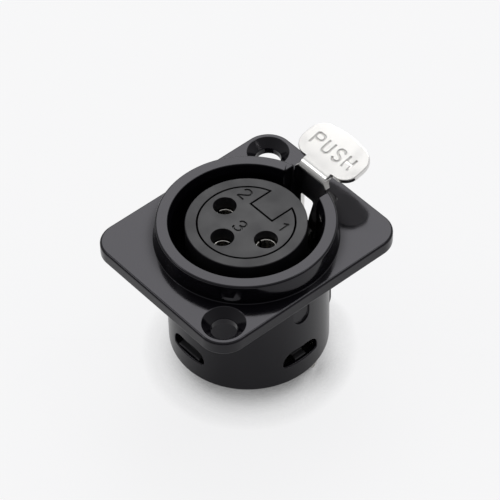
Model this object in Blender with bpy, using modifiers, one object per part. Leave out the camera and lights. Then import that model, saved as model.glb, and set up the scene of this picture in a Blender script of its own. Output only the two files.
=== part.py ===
# Three-pole female panel socket with a push latch, in metres, +Z out of its front.
# The origin is on the barrel's axis, in the plane where the flange's rear meets the panel,
# and the latch is on the +Y side.
import math

import bmesh
import bpy
from mathutils import Matrix
from mathutils import Vector

# Facets: in a full turn of a large ring and of a pin, and in a rounded corner
RING_STEPS = 64
PIN_STEPS = 20
CORNER_STEPS = 4

# Contacts, on a circle round the axis
CONTACT_CIRCLE_RADIUS = 0.0040
CONTACT_ANGLES = {"contact_1": -2.25, "contact_2": 182.25, "contact_3": 270.0}
CONTACT_HOLE_RADIUS = 0.00152
CONTACT_CLEARANCE = 0.0001
CONTACT_WALL = 0.00024
CONTACT_RIM_CHAMFER = 0.00008
CONTACT_RIM_DEPTH = 0.0013
CONTACT_BORE_DEPTH = 0.0105
CONTACT_SLOT_WIDTH = 0.0003
CONTACT_SLOT_DEPTH = 0.0075
CONTACT_COLLAR_STEP = 0.00045
CONTACT_COLLAR_HEIGHT = 0.0010
SOLDER_CUP_RADIUS = 0.0014
SOLDER_CUP_WALL = 0.0004
SOLDER_CUP_LENGTH = 0.0043
SOLDER_CUP_DEPTH = 0.0034
SOLDER_CUP_MOUTH = 0.0027
SOLDER_CUP_MOUTH_OFFSET = 0.0003

# Plastic insert: a core inside a sleeve, parted by a thin line
CORE_WALL = 0.00078
PARTING_GAP = 0.00022
SLEEVE_WALL = 0.001575
SLEEVE_EDGE = 0.00015
TONGUE_WIDTH = 0.00414
TONGUE_REACH = 0.00374
INSERT_RECESS = 0.00038
INSERT_FLANGE_HEIGHT = 0.0017
CORE_FOOT_STEP = 0.0011
CORE_FOOT_HEIGHT = 0.0009
SEAT_CLEARANCE = 0.00015

# Shell: bore, collar and barrel
PLUG_GAP = 0.001775
PLUG_DEPTH = 0.0150
MOUTH_FLARE = 0.0004
MOUTH_FLARE_DEPTH = 0.0012
SEAT_STEP = 0.00025
BARREL_WALL = 0.0010
BARREL_END_MARGIN = 0.00098
BARREL_END_ROUNDING = 0.0004
COLLAR_WALL = 0.0020
COLLAR_DRAFT = 0.0003
COLLAR_HEIGHT = 0.00278
COLLAR_RIM_ROUNDING = 0.0003
COLLAR_FOOT_ROUNDING = 0.0002
COLLAR_FOOT_DIP = 0.00002

# Flange and its screw holes
FLANGE_SIDE_MARGIN = 0.00105
FLANGE_END_MARGIN = 0.00355
FLANGE_THICKNESS = 0.0020
FLANGE_CORNER = 0.0035
FLANGE_EDGE = 0.00025
SCREW_INSET = 0.0035
SCREW_HOLE_RADIUS = 0.0017
COUNTERSINK_RADIUS = 0.0028
COUNTERSINK_DEPTH = 0.0011
RELIEF_RADIUS = 0.00353
RELIEF_DRAFT = 0.00023
RELIEF_RISE = 0.0009
RELIEF_HEIGHT = 0.00115

# Windows for the snap hooks, and the shallow grooves on the barrel's sides
WINDOW_ANGLES = (0.0, 180.0, 270.0)
WINDOW_WIDTH = 0.0057
WINDOW_HEIGHT = 0.00252
WINDOW_DROP = 0.0004
WINDOW_TOP_CORNER = 0.0019
WINDOW_FOOT_CORNER = 0.0003
GROOVE_ANGLES = (0.0, 180.0)
GROOVE_WIDTH = 0.0025
GROOVE_LENGTH = 0.0060
GROOVE_DEPTH = 0.0003

# Latch slot in the shell, and the cheeks beside it
SLOT_CLEARANCE = 0.0002
SLOT_CORNER = 0.0006
SLOT_MOUTH_ROUNDING = 0.00035
SLOT_MOUTH_DIP = 0.00004
SLOT_END_GAP = 0.0003
CHEEK_WALL = 0.00095
CHEEK_RISE = 0.0004
CHEEK_EDGE = 0.00025
CHEEK_TAPER_LENGTH = 0.0015
CHEEK_TAPER_DEPTH = 0.00055
CHEEK_END_GAP = 0.0004
RING_END_ROUNDING = 0.0007

# Latch lever: a leg that leans out, a bend, a neck and a tab
LEVER_WIDTH = 0.0060
LEVER_THICKNESS = 0.00075
LEVER_STAND_OFF = 0.00025
LEVER_TRAVEL_DEG = 6.0
LEVER_TRAVEL_GAP = 0.0004
LEAN_DEG = 9.5
LEAN_START = 0.0030
KNEE_ROUNDING = 0.0040
ELBOW_ROUNDING = 0.0014
ELBOW_HEIGHT = 0.00412
SHOULDER_RISE = 0.00025
NECK_FLARE_LENGTH = 0.00075
NECK_WIDTH = 0.0048
NECK_LENGTH = 0.00134
TAB_TILT_DEG = 14.0
TAB_WIDTH = 0.0104
TAB_SIDE = 0.0053
TAB_CROWN = 0.0007
TAB_CROWN_ROUNDING = 0.0100
TAB_INNER_CORNER = 0.0021
TAB_OUTER_CORNER = 0.0025
LEVER_WINDOW_WIDTH = 0.0024
LEVER_WINDOW_HEIGHT = 0.0044
LEVER_WINDOW_DROP = 0.00025
LEVER_WINDOW_CORNER = 0.0003
NOSE_WIDTH = 0.0030
NOSE_HEIGHT = 0.0017
NOSE_FLAT = 0.0008
NOSE_REACH = 0.0009
NOSE_DROP = 0.0003

# Pivot pin, the lever's eye and the return spring
PIN_RADIUS = 0.0005
PIN_CLEARANCE = 0.00006
PIN_END_CHAMFER = 0.0001
PIN_END_RECESS = 0.00015
PIVOT_INSET = 0.00015
PIVOT_GAP = 0.0001
EYE_WALL = 0.00054
EYE_END_PLAY = 0.0001
SPRING_BAY_WIDTH = 0.0024
SPRING_BAY_RISE = 0.0003
SPRING_WIRE_RADIUS = 0.000175
SPRING_CLEARANCE = 0.00012
SPRING_PITCH = 0.00044
SPRING_TURNS = 4
SPRING_POINTS_PER_TURN = 12
SPRING_LEG_LENGTH = 0.0046

# Rear insulator and its snap hooks
REAR_PLATE_GAP = 0.00015
REAR_PLATE_THICKNESS = 0.0031
REAR_PLATE_EDGE = 0.0003
HOOK_WIDTHS = {0.0: 0.0018, 180.0: 0.0018, 270.0: 0.0040}
HOOK_THICKNESS = 0.0007
HOOK_INSET = 0.00045
HOOK_RISE = 0.0002
HOOK_ROOT = 0.0018
HOOK_REACH = 0.0009
HOOK_CATCH_DROP = 0.00052
HOOK_CATCH_HEIGHT = 0.00028
HOOK_RAMP = 0.00042
HOOK_CLEARANCE = 0.0003
POCKET_SIDE = 0.00015
POCKET_ROOF = 0.00035
POCKET_DROP = 0.00026

# Ground lug, a bent strip held under the insert
LUG_ANGLE = 24.0
LUG_WIDTH = 0.0020
LUG_THICKNESS = 0.0004
LUG_INSET = 0.00035
LUG_BEND = 0.0006
LUG_FOOT_LENGTH = 0.0023
LUG_TAIL_LENGTH = 0.0028
LUG_EYE_RADIUS = 0.0005
LUG_CLEARANCE = 0.00015

# How far a cutter runs past what it cuts
OVERCUT = 0.0010

# Radii, heights and places that follow from the sizes above
CORE_RADIUS = CONTACT_CIRCLE_RADIUS + CONTACT_HOLE_RADIUS + CORE_WALL
SLEEVE_RADIUS = CORE_RADIUS + SLEEVE_WALL
BORE_RADIUS = SLEEVE_RADIUS + PLUG_GAP
MOUTH_RADIUS = BORE_RADIUS + MOUTH_FLARE
SEAT_RADIUS = BORE_RADIUS + SEAT_STEP
INSERT_RADIUS = SEAT_RADIUS - SEAT_CLEARANCE
BARREL_RADIUS = BORE_RADIUS + BARREL_WALL
COLLAR_TOP_RADIUS = BORE_RADIUS + COLLAR_WALL
COLLAR_BASE_RADIUS = COLLAR_TOP_RADIUS + COLLAR_DRAFT
FLANGE_WIDTH = 2 * (COLLAR_BASE_RADIUS + FLANGE_SIDE_MARGIN)
FLANGE_HEIGHT = 2 * (COLLAR_BASE_RADIUS + FLANGE_END_MARGIN)
SCREW_X = FLANGE_WIDTH / 2 - SCREW_INSET
SCREW_Y = FLANGE_HEIGHT / 2 - SCREW_INSET
CONTACT_RADIUS = CONTACT_HOLE_RADIUS - CONTACT_CLEARANCE
CONTACT_COLLAR_RADIUS = CONTACT_RADIUS + CONTACT_COLLAR_STEP
RIM_Z = FLANGE_THICKNESS + COLLAR_HEIGHT
FACE_Z = RIM_Z - INSERT_RECESS
SEAT_Z = RIM_Z - PLUG_DEPTH
INSERT_TOP_Z = SEAT_Z - SEAT_CLEARANCE
INSERT_REAR_Z = INSERT_TOP_Z - INSERT_FLANGE_HEIGHT
PLATE_TOP_Z = INSERT_REAR_Z - REAR_PLATE_GAP
PLATE_REAR_Z = PLATE_TOP_Z - REAR_PLATE_THICKNESS
BARREL_LENGTH = BARREL_END_MARGIN - PLATE_REAR_Z
WINDOW_TOP_Z = SEAT_Z - WINDOW_DROP
EYE_RADIUS = PIN_RADIUS + PIN_CLEARANCE + EYE_WALL
LEG_INNER_Y = BORE_RADIUS + LEVER_STAND_OFF
PIVOT_Y = LEG_INNER_Y + PIVOT_INSET
PIVOT_Z = INSERT_REAR_Z - PIVOT_GAP - EYE_RADIUS
SLOT_HALF_WIDTH = LEVER_WIDTH / 2 + SLOT_CLEARANCE
SLOT_FOOT_Z = PIVOT_Z - EYE_RADIUS - SLOT_END_GAP
CHEEK_OUTER_X = SLOT_HALF_WIDTH + CHEEK_WALL
CHEEK_OUTER_Y = BARREL_RADIUS + CHEEK_RISE
HOOK_OUTER = SEAT_RADIUS - HOOK_INSET
HOOK_INNER = HOOK_OUTER - HOOK_THICKNESS
POCKET_INNER = HOOK_INNER - HOOK_CLEARANCE
POCKET_FLOOR_Z = WINDOW_TOP_Z - WINDOW_HEIGHT - POCKET_DROP
LUG_OUTER = SEAT_RADIUS - LUG_INSET
LUG_TOP_Z = PLATE_TOP_Z - LUG_CLEARANCE

X_AXIS = Vector((1, 0, 0))
Y_AXIS = Vector((0, 1, 0))
Z_AXIS = Vector((0, 0, 1))


def clear_scene():
    for obj in list(bpy.data.objects):
        bpy.data.objects.remove(obj, do_unlink=True)


def new_collection(name):
    collection = bpy.data.collections.new(name)
    bpy.context.scene.collection.children.link(collection)
    return collection


def new_material(name, color, roughness, metallic):
    material = bpy.data.materials.new(name)
    material.use_nodes = True
    shader = material.node_tree.nodes["Principled BSDF"]
    shader.inputs["Base Color"].default_value = (*color, 1.0)
    shader.inputs["Roughness"].default_value = roughness
    shader.inputs["Metallic"].default_value = metallic
    return material


def radial(angle):
    """The direction out from the axis at this angle, in degrees from +X."""
    turn = math.radians(angle)
    return Vector((math.cos(turn), math.sin(turn), 0))


def circle(radius, steps, centre=(0, 0)):
    points = []
    for step in range(steps):
        turn = math.tau * step / steps
        points.append((centre[0] + radius * math.cos(turn), centre[1] + radius * math.sin(turn)))
    return points


def rounded_corner(before, corner, after, radius, steps):
    """The points of the arc that rounds one corner of an outline."""
    corner = Vector(corner)
    back = (Vector(before) - corner).normalized()
    ahead = (Vector(after) - corner).normalized()
    half = back.angle(ahead) / 2
    centre = corner + (back + ahead).normalized() * radius / math.sin(half)
    first = corner + back * radius / math.tan(half) - centre
    last = corner + ahead * radius / math.tan(half) - centre
    start = math.atan2(first.y, first.x)
    sweep = math.atan2(first.x * last.y - first.y * last.x, first.dot(last))
    points = []
    for step in range(steps + 1):
        turn = start + sweep * step / steps
        points.append((centre.x + radius * math.cos(turn), centre.y + radius * math.sin(turn)))
    return points


def rounded(corners, radii, closed=True, steps=CORNER_STEPS):
    """An outline through these corners, each rounded by its radius, or sharp where that is 0."""
    points = []
    last = len(corners) - 1
    for index, (corner, radius) in enumerate(zip(corners, radii)):
        if radius == 0 or (not closed and index in (0, last)):
            points.append(tuple(corner))
            continue
        before = corners[index - 1]
        after = corners[(index + 1) % len(corners)]
        points.extend(rounded_corner(before, corner, after, radius, steps))
    return points


def slot_outline(width, height, steps=12):
    """A flat slot with round ends, wider along X than it is high."""
    reach = (width - height) / 2
    points = []
    for side in (1, -1):
        for step in range(steps + 1):
            turn = math.pi * (step / steps - 0.5)
            points.append((side * (reach + height / 2 * math.cos(turn)), side * height / 2 * math.sin(turn)))
    return points


def bent_sheet(path, radii, thickness, steps=CORNER_STEPS):
    """The closed section of a sheet whose outer side follows the path and turns only to the right."""
    path = [Vector(point) for point in path]
    normals = []
    for start, end in zip(path, path[1:]):
        along = (end - start).normalized()
        normals.append(Vector((along.y, -along.x)))
    normals = [normals[0], *normals, normals[-1]]
    inner = []
    for point, first, second in zip(path, normals, normals[1:]):
        inner.append(point + (first + second) * thickness / (1 + first.dot(second)))
    inner_radii = [max(radius - thickness, 0) for radius in radii]
    outer_points = rounded(path, radii, closed=False, steps=steps)
    inner_points = rounded(inner, inner_radii, closed=False, steps=steps)
    return outer_points + inner_points[::-1]


def place(obj, along_x, along_y, origin=(0, 0, 0)):
    """Turns an object so that its own X and Y run along these directions."""
    rows = (along_x, along_y, along_x.cross(along_y))
    obj.matrix_world = Matrix.Translation(origin) @ Matrix(rows).transposed().to_4x4()


def turned(name, profile, closed=False, steps=RING_STEPS):
    """A turned solid. The profile of (radius, height) points runs down its outer side."""
    mesh = bpy.data.meshes.new(name)
    edges = [(index, index + 1) for index in range(len(profile) - 1)]
    if closed:
        edges.append((len(profile) - 1, 0))
    mesh.from_pydata([(radius, 0, height) for radius, height in profile], edges, [])
    obj = bpy.data.objects.new(name, mesh)
    screw = obj.modifiers.new("turn", "SCREW")
    screw.steps = steps
    screw.render_steps = steps
    screw.use_merge_vertices = True
    screw.merge_threshold = 0.000001
    return obj


def raised(name, outlines, low, high):
    """A mesh of a flat outline, with any holes as further outlines, from low to high along its Z."""
    curve = bpy.data.curves.new(name, "CURVE")
    curve.dimensions = "2D"
    curve.fill_mode = "BOTH"
    curve.extrude = (high - low) / 2
    for outline in outlines:
        spline = curve.splines.new("POLY")
        spline.points.add(len(outline) - 1)
        for point, (x, y) in zip(spline.points, outline):
            point.co = (x, y, 0, 1)
        spline.use_cyclic_u = True
    return meshed(name, curve, Vector((0, 0, (low + high) / 2)))


def meshed(name, curve, shift):
    """The curve's shape as a mesh object with welded caps."""
    drawn = bpy.data.objects.new(name + "_curve", curve)
    bpy.context.scene.collection.objects.link(drawn)
    bpy.context.view_layer.update()
    graph = bpy.context.evaluated_depsgraph_get()
    mesh = bpy.data.meshes.new_from_object(drawn.evaluated_get(graph))
    bpy.data.objects.remove(drawn, do_unlink=True)
    shape = bmesh.new()
    shape.from_mesh(mesh)
    bmesh.ops.remove_doubles(shape, verts=shape.verts, dist=0.0000005)
    bmesh.ops.translate(shape, verts=shape.verts, vec=shift)
    bmesh.ops.recalc_face_normals(shape, faces=shape.faces)
    shape.to_mesh(mesh)
    shape.free()
    return bpy.data.objects.new(name, mesh)


def box(name, low, high):
    """A box between two corners."""
    shape = bmesh.new()
    bmesh.ops.create_cube(shape, size=1)
    size = Vector(high) - Vector(low)
    middle = (Vector(high) + Vector(low)) / 2
    bmesh.ops.scale(shape, verts=shape.verts, vec=size)
    bmesh.ops.translate(shape, verts=shape.verts, vec=middle)
    mesh = bpy.data.meshes.new(name)
    shape.to_mesh(mesh)
    shape.free()
    return bpy.data.objects.new(name, mesh)


def round_edges(obj, width, angle=60):
    """Rounds the edges that are sharper than the angle, in degrees."""
    bevel = obj.modifiers.new("round", "BEVEL")
    bevel.width = width
    bevel.segments = 2
    bevel.limit_method = "ANGLE"
    bevel.angle_limit = math.radians(angle)


def combine(target, other, operation):
    """Joins, cuts or keeps the common part of the target and a helper shape."""
    HELPERS.objects.link(other)
    other.hide_render = True
    other.display_type = "WIRE"
    change = target.modifiers.new(other.name, "BOOLEAN")
    change.operation = operation
    change.solver = "EXACT"
    change.object = other


def join(target, other):
    combine(target, other, "UNION")


def cut(target, other):
    combine(target, other, "DIFFERENCE")


def finish(obj, material):
    """Puts a piece in the socket with its material, shaded smooth between its sharp edges."""
    SOCKET.objects.link(obj)
    bpy.context.view_layer.update()
    graph = bpy.context.evaluated_depsgraph_get()
    mesh = bpy.data.meshes.new_from_object(obj.evaluated_get(graph))
    obj.modifiers.clear()
    obj.data = mesh
    mesh.name = obj.name
    mesh.materials.clear()
    mesh.materials.append(material)
    mesh.shade_smooth()
    mesh.set_sharp_from_angle(angle=math.radians(35))


def flange_outline():
    half_x = FLANGE_WIDTH / 2
    half_y = FLANGE_HEIGHT / 2
    corners = [(-half_x, -half_y), (half_x, -half_y), (half_x, half_y), (-half_x, half_y)]
    return rounded(corners, [FLANGE_CORNER] * 4, steps=8)


def shell_ring():
    """Collar and barrel round the bore, which flares at its mouth and widens at the insert's seat."""
    foot_z = FLANGE_THICKNESS - COLLAR_FOOT_DIP
    foot_radius = COLLAR_BASE_RADIUS + 2 * COLLAR_FOOT_ROUNDING
    corners = [
        (MOUTH_RADIUS, RIM_Z),
        (COLLAR_TOP_RADIUS, RIM_Z),
        (COLLAR_BASE_RADIUS, foot_z),
        (foot_radius, foot_z),
        (foot_radius, FLANGE_THICKNESS / 2),
        (BARREL_RADIUS, FLANGE_THICKNESS / 2),
        (BARREL_RADIUS, -BARREL_LENGTH),
        (SEAT_RADIUS, -BARREL_LENGTH),
        (SEAT_RADIUS, SEAT_Z),
        (BORE_RADIUS, SEAT_Z),
        (BORE_RADIUS, RIM_Z - MOUTH_FLARE_DEPTH),
    ]
    radii = [0, COLLAR_RIM_ROUNDING, COLLAR_FOOT_ROUNDING, 0, 0, 0, BARREL_END_ROUNDING, 0, 0, 0, 0]
    return turned("shell", rounded(corners, radii, steps=3), closed=True)


def wall_middle_y():
    """Inside the barrel's wall all along the cheeks."""
    inner_y = math.sqrt(SEAT_RADIUS**2 - SLOT_HALF_WIDTH**2)
    outer_y = math.sqrt(BARREL_RADIUS**2 - CHEEK_OUTER_X**2)
    return (inner_y + outer_y) / 2


def cheeks():
    """The block that stands out of the barrel beside the slot, tapered at its foot."""
    foot_z = CHEEK_END_GAP - BARREL_LENGTH
    inner_y = wall_middle_y()
    corners = [
        (-CHEEK_OUTER_X, inner_y),
        (CHEEK_OUTER_X, inner_y),
        (CHEEK_OUTER_X, CHEEK_OUTER_Y),
        (-CHEEK_OUTER_X, CHEEK_OUTER_Y),
    ]
    outline = rounded(corners, [0, 0, CHEEK_EDGE, CHEEK_EDGE])
    block = raised("cheeks", [outline], foot_z, FLANGE_THICKNESS / 2)
    slope = CHEEK_TAPER_DEPTH / CHEEK_TAPER_LENGTH
    wedge_outline = [
        (CHEEK_OUTER_Y + slope * OVERCUT, foot_z + CHEEK_TAPER_LENGTH + OVERCUT),
        (CHEEK_OUTER_Y - CHEEK_TAPER_DEPTH - slope * OVERCUT, foot_z - OVERCUT),
        (CHEEK_OUTER_Y + OVERCUT, foot_z - OVERCUT),
    ]
    wedge = raised("cheek_taper", [wedge_outline], -CHEEK_OUTER_X - OVERCUT, CHEEK_OUTER_X + OVERCUT)
    place(wedge, Y_AXIS, Z_AXIS)
    cut(block, wedge)
    return block


def leg_lean():
    return math.tan(math.radians(LEAN_DEG))


def slot_end_y():
    """The far end of the slot, which the leg comes near when the tab is pressed fully."""
    travel = math.radians(LEVER_TRAVEL_DEG)
    leg_outer = LEG_INNER_Y + LEAN_START * leg_lean() + LEVER_THICKNESS / math.cos(math.radians(LEAN_DEG))
    swing = (FLANGE_THICKNESS - PIVOT_Z) * math.sin(travel)
    return leg_outer + swing + LEVER_TRAVEL_GAP


def slot_mouth():
    """The arc that eases the slot's right edge into the bore."""
    reach = BORE_RADIUS + SLOT_MOUTH_ROUNDING - SLOT_MOUTH_DIP
    centre_x = SLOT_HALF_WIDTH + SLOT_MOUTH_ROUNDING
    centre_y = math.sqrt(reach**2 - centre_x**2)
    sweep = math.atan2(centre_y, centre_x)
    points = []
    for step in range(CORNER_STEPS + 1):
        turn = math.pi + sweep * (1 - step / CORNER_STEPS)
        x = centre_x + SLOT_MOUTH_ROUNDING * math.cos(turn)
        points.append((x, centre_y + SLOT_MOUTH_ROUNDING * math.sin(turn)))
    return points


def latch_slot():
    """The slot through barrel, flange and collar, eased into the bore and round in its far corners."""
    near_y = BORE_RADIUS - 2 * OVERCUT
    far_y = slot_end_y()
    right = [(SLOT_HALF_WIDTH, near_y), *slot_mouth(), (SLOT_HALF_WIDTH, far_y)]
    left = [(-x, y) for x, y in reversed(right)]
    radii = [0] * (len(right) - 1) + [SLOT_CORNER]
    outline = rounded(right + left, radii + radii[::-1])
    return raised("latch_slot", [outline], SLOT_FOOT_Z, RIM_Z + OVERCUT)


def ring_gap():
    """The cut above the flange that rounds the collar's two ends in plan."""
    side_x = SLOT_HALF_WIDTH + RING_END_ROUNDING
    outer_y = math.sqrt(COLLAR_TOP_RADIUS**2 - side_x**2)
    far_y = COLLAR_BASE_RADIUS + OVERCUT
    arc = rounded_corner(
        (SLOT_HALF_WIDTH, outer_y - 2 * RING_END_ROUNDING),
        (SLOT_HALF_WIDTH, outer_y),
        (SLOT_HALF_WIDTH + 2 * RING_END_ROUNDING, outer_y),
        RING_END_ROUNDING,
        CORNER_STEPS,
    )
    right = [*arc, (side_x, far_y)]
    left = [(-x, y) for x, y in reversed(right)]
    return raised("ring_gap", [right + left], FLANGE_THICKNESS, RIM_Z + OVERCUT)


def barrel_window(angle):
    """An opening through the barrel's wall with well rounded upper corners."""
    half = WINDOW_WIDTH / 2
    foot_z = WINDOW_TOP_Z - WINDOW_HEIGHT
    corners = [(-half, foot_z), (half, foot_z), (half, WINDOW_TOP_Z), (-half, WINDOW_TOP_Z)]
    radii = [WINDOW_FOOT_CORNER, WINDOW_FOOT_CORNER, WINDOW_TOP_CORNER, WINDOW_TOP_CORNER]
    outline = rounded(corners, radii, steps=8)
    window = raised(f"window_{angle:.0f}", [outline], BORE_RADIUS - OVERCUT, BARREL_RADIUS + OVERCUT)
    outward = radial(angle)
    place(window, Z_AXIS.cross(outward), Z_AXIS)
    return window


def side_groove(angle):
    """A shallow upright groove with a round foot, from inside the flange down the barrel."""
    top_z = FLANGE_THICKNESS / 4
    outline = []
    for x, y in slot_outline(GROOVE_LENGTH + top_z, GROOVE_WIDTH):
        outline.append((-y, x + (top_z - GROOVE_LENGTH) / 2))
    floor = BARREL_RADIUS - GROOVE_DEPTH
    groove = raised(f"groove_{angle:.0f}", [outline], floor, BARREL_RADIUS + OVERCUT)
    outward = radial(angle)
    place(groove, Z_AXIS.cross(outward), Z_AXIS)
    return groove


def screw_hole(name):
    """A straight hole whose mouth is countersunk."""
    slope = (COUNTERSINK_RADIUS - SCREW_HOLE_RADIUS) / COUNTERSINK_DEPTH
    past = OVERCUT / 4
    profile = [
        (0, FLANGE_THICKNESS + past),
        (COUNTERSINK_RADIUS + slope * past, FLANGE_THICKNESS + past),
        (SCREW_HOLE_RADIUS, FLANGE_THICKNESS - COUNTERSINK_DEPTH),
        (SCREW_HOLE_RADIUS, -OVERCUT),
        (0, -OVERCUT),
    ]
    return turned(name, profile, steps=RING_STEPS // 2)


def screw_relief(name):
    """Room in the collar's side for the driver, a little wider towards the front."""
    foot_z = FLANGE_THICKNESS + RELIEF_RISE
    top_z = foot_z + RELIEF_HEIGHT
    profile = [(0, top_z), (RELIEF_RADIUS + RELIEF_DRAFT, top_z), (RELIEF_RADIUS, foot_z), (0, foot_z)]
    return turned(name, profile, steps=RING_STEPS)


def cross_pin(name, radius, half_length, chamfer=0.0):
    """A round bar along X through the pivot."""
    profile = [
        (0, half_length),
        (radius - chamfer, half_length),
        (radius, half_length - chamfer),
        (radius, chamfer - half_length),
        (radius - chamfer, -half_length),
        (0, -half_length),
    ]
    if chamfer == 0:
        profile = [profile[0], profile[2], profile[3], profile[5]]
    bar = turned(name, profile, steps=PIN_STEPS)
    place(bar, Y_AXIS, Z_AXIS, (0, PIVOT_Y, PIVOT_Z))
    return bar


def make_shell(material):
    shell = shell_ring()
    for angle in GROOVE_ANGLES:
        cut(shell, side_groove(angle))
    hole = circle((BORE_RADIUS + BARREL_RADIUS) / 2, RING_STEPS)
    flange = raised("flange", [flange_outline(), hole], 0, FLANGE_THICKNESS)
    round_edges(flange, FLANGE_EDGE)
    join(shell, flange)
    join(shell, cheeks())
    cut(shell, latch_slot())
    cut(shell, ring_gap())
    for angle in WINDOW_ANGLES:
        cut(shell, barrel_window(angle))
    for side in ("left", "right"):
        sign = -1 if side == "left" else 1
        for cutter in (screw_hole("screw_hole_" + side), screw_relief("screw_relief_" + side)):
            cutter.location = (sign * SCREW_X, -sign * SCREW_Y, 0)
            cut(shell, cutter)
    cut(shell, cross_pin("pin_hole", PIN_RADIUS + PIN_CLEARANCE, CHEEK_OUTER_X + OVERCUT))
    finish(shell, material)


def window_pocket(name, angle, low_z, high_z):
    """The room behind a barrel window, where its hook stands."""
    half = WINDOW_WIDTH / 2 + POCKET_SIDE
    low = (POCKET_INNER, -half, low_z)
    pocket = box(f"{name}_{angle:.0f}", low, (INSERT_RADIUS + OVERCUT, half, high_z))
    pocket.rotation_euler.z = math.radians(angle)
    return pocket


def make_sleeve(material):
    """The insert's outer ring, with its key tongue in front and its base flange at the rear."""
    bore = CORE_RADIUS + PARTING_GAP / 2
    foot_bore = CORE_RADIUS + CORE_FOOT_STEP + PARTING_GAP / 2
    foot_z = INSERT_REAR_Z + CORE_FOOT_HEIGHT + PARTING_GAP / 2
    profile = [
        (bore, FACE_Z),
        (SLEEVE_RADIUS - SLEEVE_EDGE, FACE_Z),
        (SLEEVE_RADIUS, FACE_Z - SLEEVE_EDGE),
        (SLEEVE_RADIUS, INSERT_TOP_Z),
        (INSERT_RADIUS, INSERT_TOP_Z),
        (INSERT_RADIUS, INSERT_REAR_Z),
        (foot_bore, INSERT_REAR_Z),
        (foot_bore, foot_z),
        (bore, foot_z),
    ]
    sleeve = turned("insert_sleeve", profile, closed=True)
    half = (TONGUE_WIDTH - PARTING_GAP) / 2
    end_y = CORE_RADIUS - TONGUE_REACH + PARTING_GAP / 2
    root_y = bore + SLEEVE_WALL / 2
    join(sleeve, box("tongue", (-half, end_y, foot_z + PARTING_GAP), (half, root_y, FACE_Z)))
    for angle in WINDOW_ANGLES:
        cut(sleeve, window_pocket("base_pocket", angle, INSERT_REAR_Z - OVERCUT, INSERT_TOP_Z - POCKET_ROOF))
    notch_y = LEG_INNER_Y - LEVER_STAND_OFF
    notch_low = (-SLOT_HALF_WIDTH, notch_y, INSERT_REAR_Z - OVERCUT)
    notch_high = (SLOT_HALF_WIDTH, INSERT_RADIUS + OVERCUT, INSERT_TOP_Z + OVERCUT)
    cut(sleeve, box("leg_notch", notch_low, notch_high))
    finish(sleeve, material)


def core_outline():
    """A circle with the tongue's notch, and the three contact holes."""
    radius = CORE_RADIUS - PARTING_GAP / 2
    half = (TONGUE_WIDTH + PARTING_GAP) / 2
    notch_y = CORE_RADIUS - TONGUE_REACH - PARTING_GAP / 2
    edge = math.asin(half / radius)
    start = math.pi / 2 + edge
    sweep = math.tau - 2 * edge
    points = []
    for step in range(RING_STEPS + 1):
        turn = start + sweep * step / RING_STEPS
        points.append((radius * math.cos(turn), radius * math.sin(turn)))
    points.extend([(half, notch_y), (-half, notch_y)])
    outlines = [points]
    for angle in CONTACT_ANGLES.values():
        centre = radial(angle) * CONTACT_CIRCLE_RADIUS
        outlines.append(circle(CONTACT_HOLE_RADIUS, PIN_STEPS, centre))
    return outlines


def make_core(material):
    """The core that carries the contacts, with a wider foot that the sleeve holds down."""
    core = raised("contact_core", core_outline(), INSERT_REAR_Z, FACE_Z)
    foot_outline = [circle(CORE_RADIUS + CORE_FOOT_STEP - PARTING_GAP / 2, RING_STEPS)]
    foot_outline.extend(core_outline()[1:])
    join(core, raised("core_foot", foot_outline, INSERT_REAR_Z, INSERT_REAR_Z + CORE_FOOT_HEIGHT))
    seat_radius = CONTACT_COLLAR_RADIUS + CONTACT_CLEARANCE
    seat_z = INSERT_REAR_Z + CONTACT_COLLAR_HEIGHT + CONTACT_CLEARANCE
    for name, angle in CONTACT_ANGLES.items():
        outline = circle(seat_radius, PIN_STEPS, radial(angle) * CONTACT_CIRCLE_RADIUS)
        cut(core, raised(name + "_seat", [outline], INSERT_REAR_Z - OVERCUT, seat_z))
    finish(core, material)


def make_contact(name, angle, material):
    """A turned contact: slotted socket in front, retaining collar, solder cup behind."""
    rim_z = FACE_Z - CONTACT_RIM_DEPTH
    bore = CONTACT_RADIUS - CONTACT_WALL
    collar_z = INSERT_REAR_Z + CONTACT_COLLAR_HEIGHT
    cup_end_z = PLATE_REAR_Z - SOLDER_CUP_LENGTH
    cup_bore = SOLDER_CUP_RADIUS - SOLDER_CUP_WALL
    profile = [
        (0, rim_z - CONTACT_BORE_DEPTH),
        (bore, rim_z - CONTACT_BORE_DEPTH),
        (bore, rim_z - CONTACT_RIM_CHAMFER),
        (bore + CONTACT_RIM_CHAMFER, rim_z),
        (CONTACT_RADIUS, rim_z),
        (CONTACT_RADIUS, collar_z),
        (CONTACT_COLLAR_RADIUS, collar_z),
        (CONTACT_COLLAR_RADIUS, INSERT_REAR_Z),
        (SOLDER_CUP_RADIUS, INSERT_REAR_Z),
        (SOLDER_CUP_RADIUS, cup_end_z),
        (cup_bore, cup_end_z),
        (cup_bore, cup_end_z + SOLDER_CUP_DEPTH),
        (0, cup_end_z + SOLDER_CUP_DEPTH),
    ]
    contact = turned(name, profile, steps=PIN_STEPS)
    contact.location = radial(angle) * CONTACT_CIRCLE_RADIUS
    half = CONTACT_SLOT_WIDTH / 2
    reach = CONTACT_RADIUS + OVERCUT
    slot = box(name + "_slot", (-reach, -half, rim_z - CONTACT_SLOT_DEPTH), (reach, half, rim_z + OVERCUT))
    slot.matrix_world = Matrix.Translation(contact.location) @ Matrix.Rotation(math.radians(angle), 4, "Z")
    cut(contact, slot)
    mouth_low = (SOLDER_CUP_MOUTH_OFFSET, -reach, cup_end_z - OVERCUT)
    mouth_high = (reach, reach, cup_end_z + SOLDER_CUP_MOUTH)
    mouth = box(name + "_mouth", mouth_low, mouth_high)
    mouth.matrix_world = slot.matrix_world
    cut(contact, mouth)
    finish(contact, material)


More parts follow.
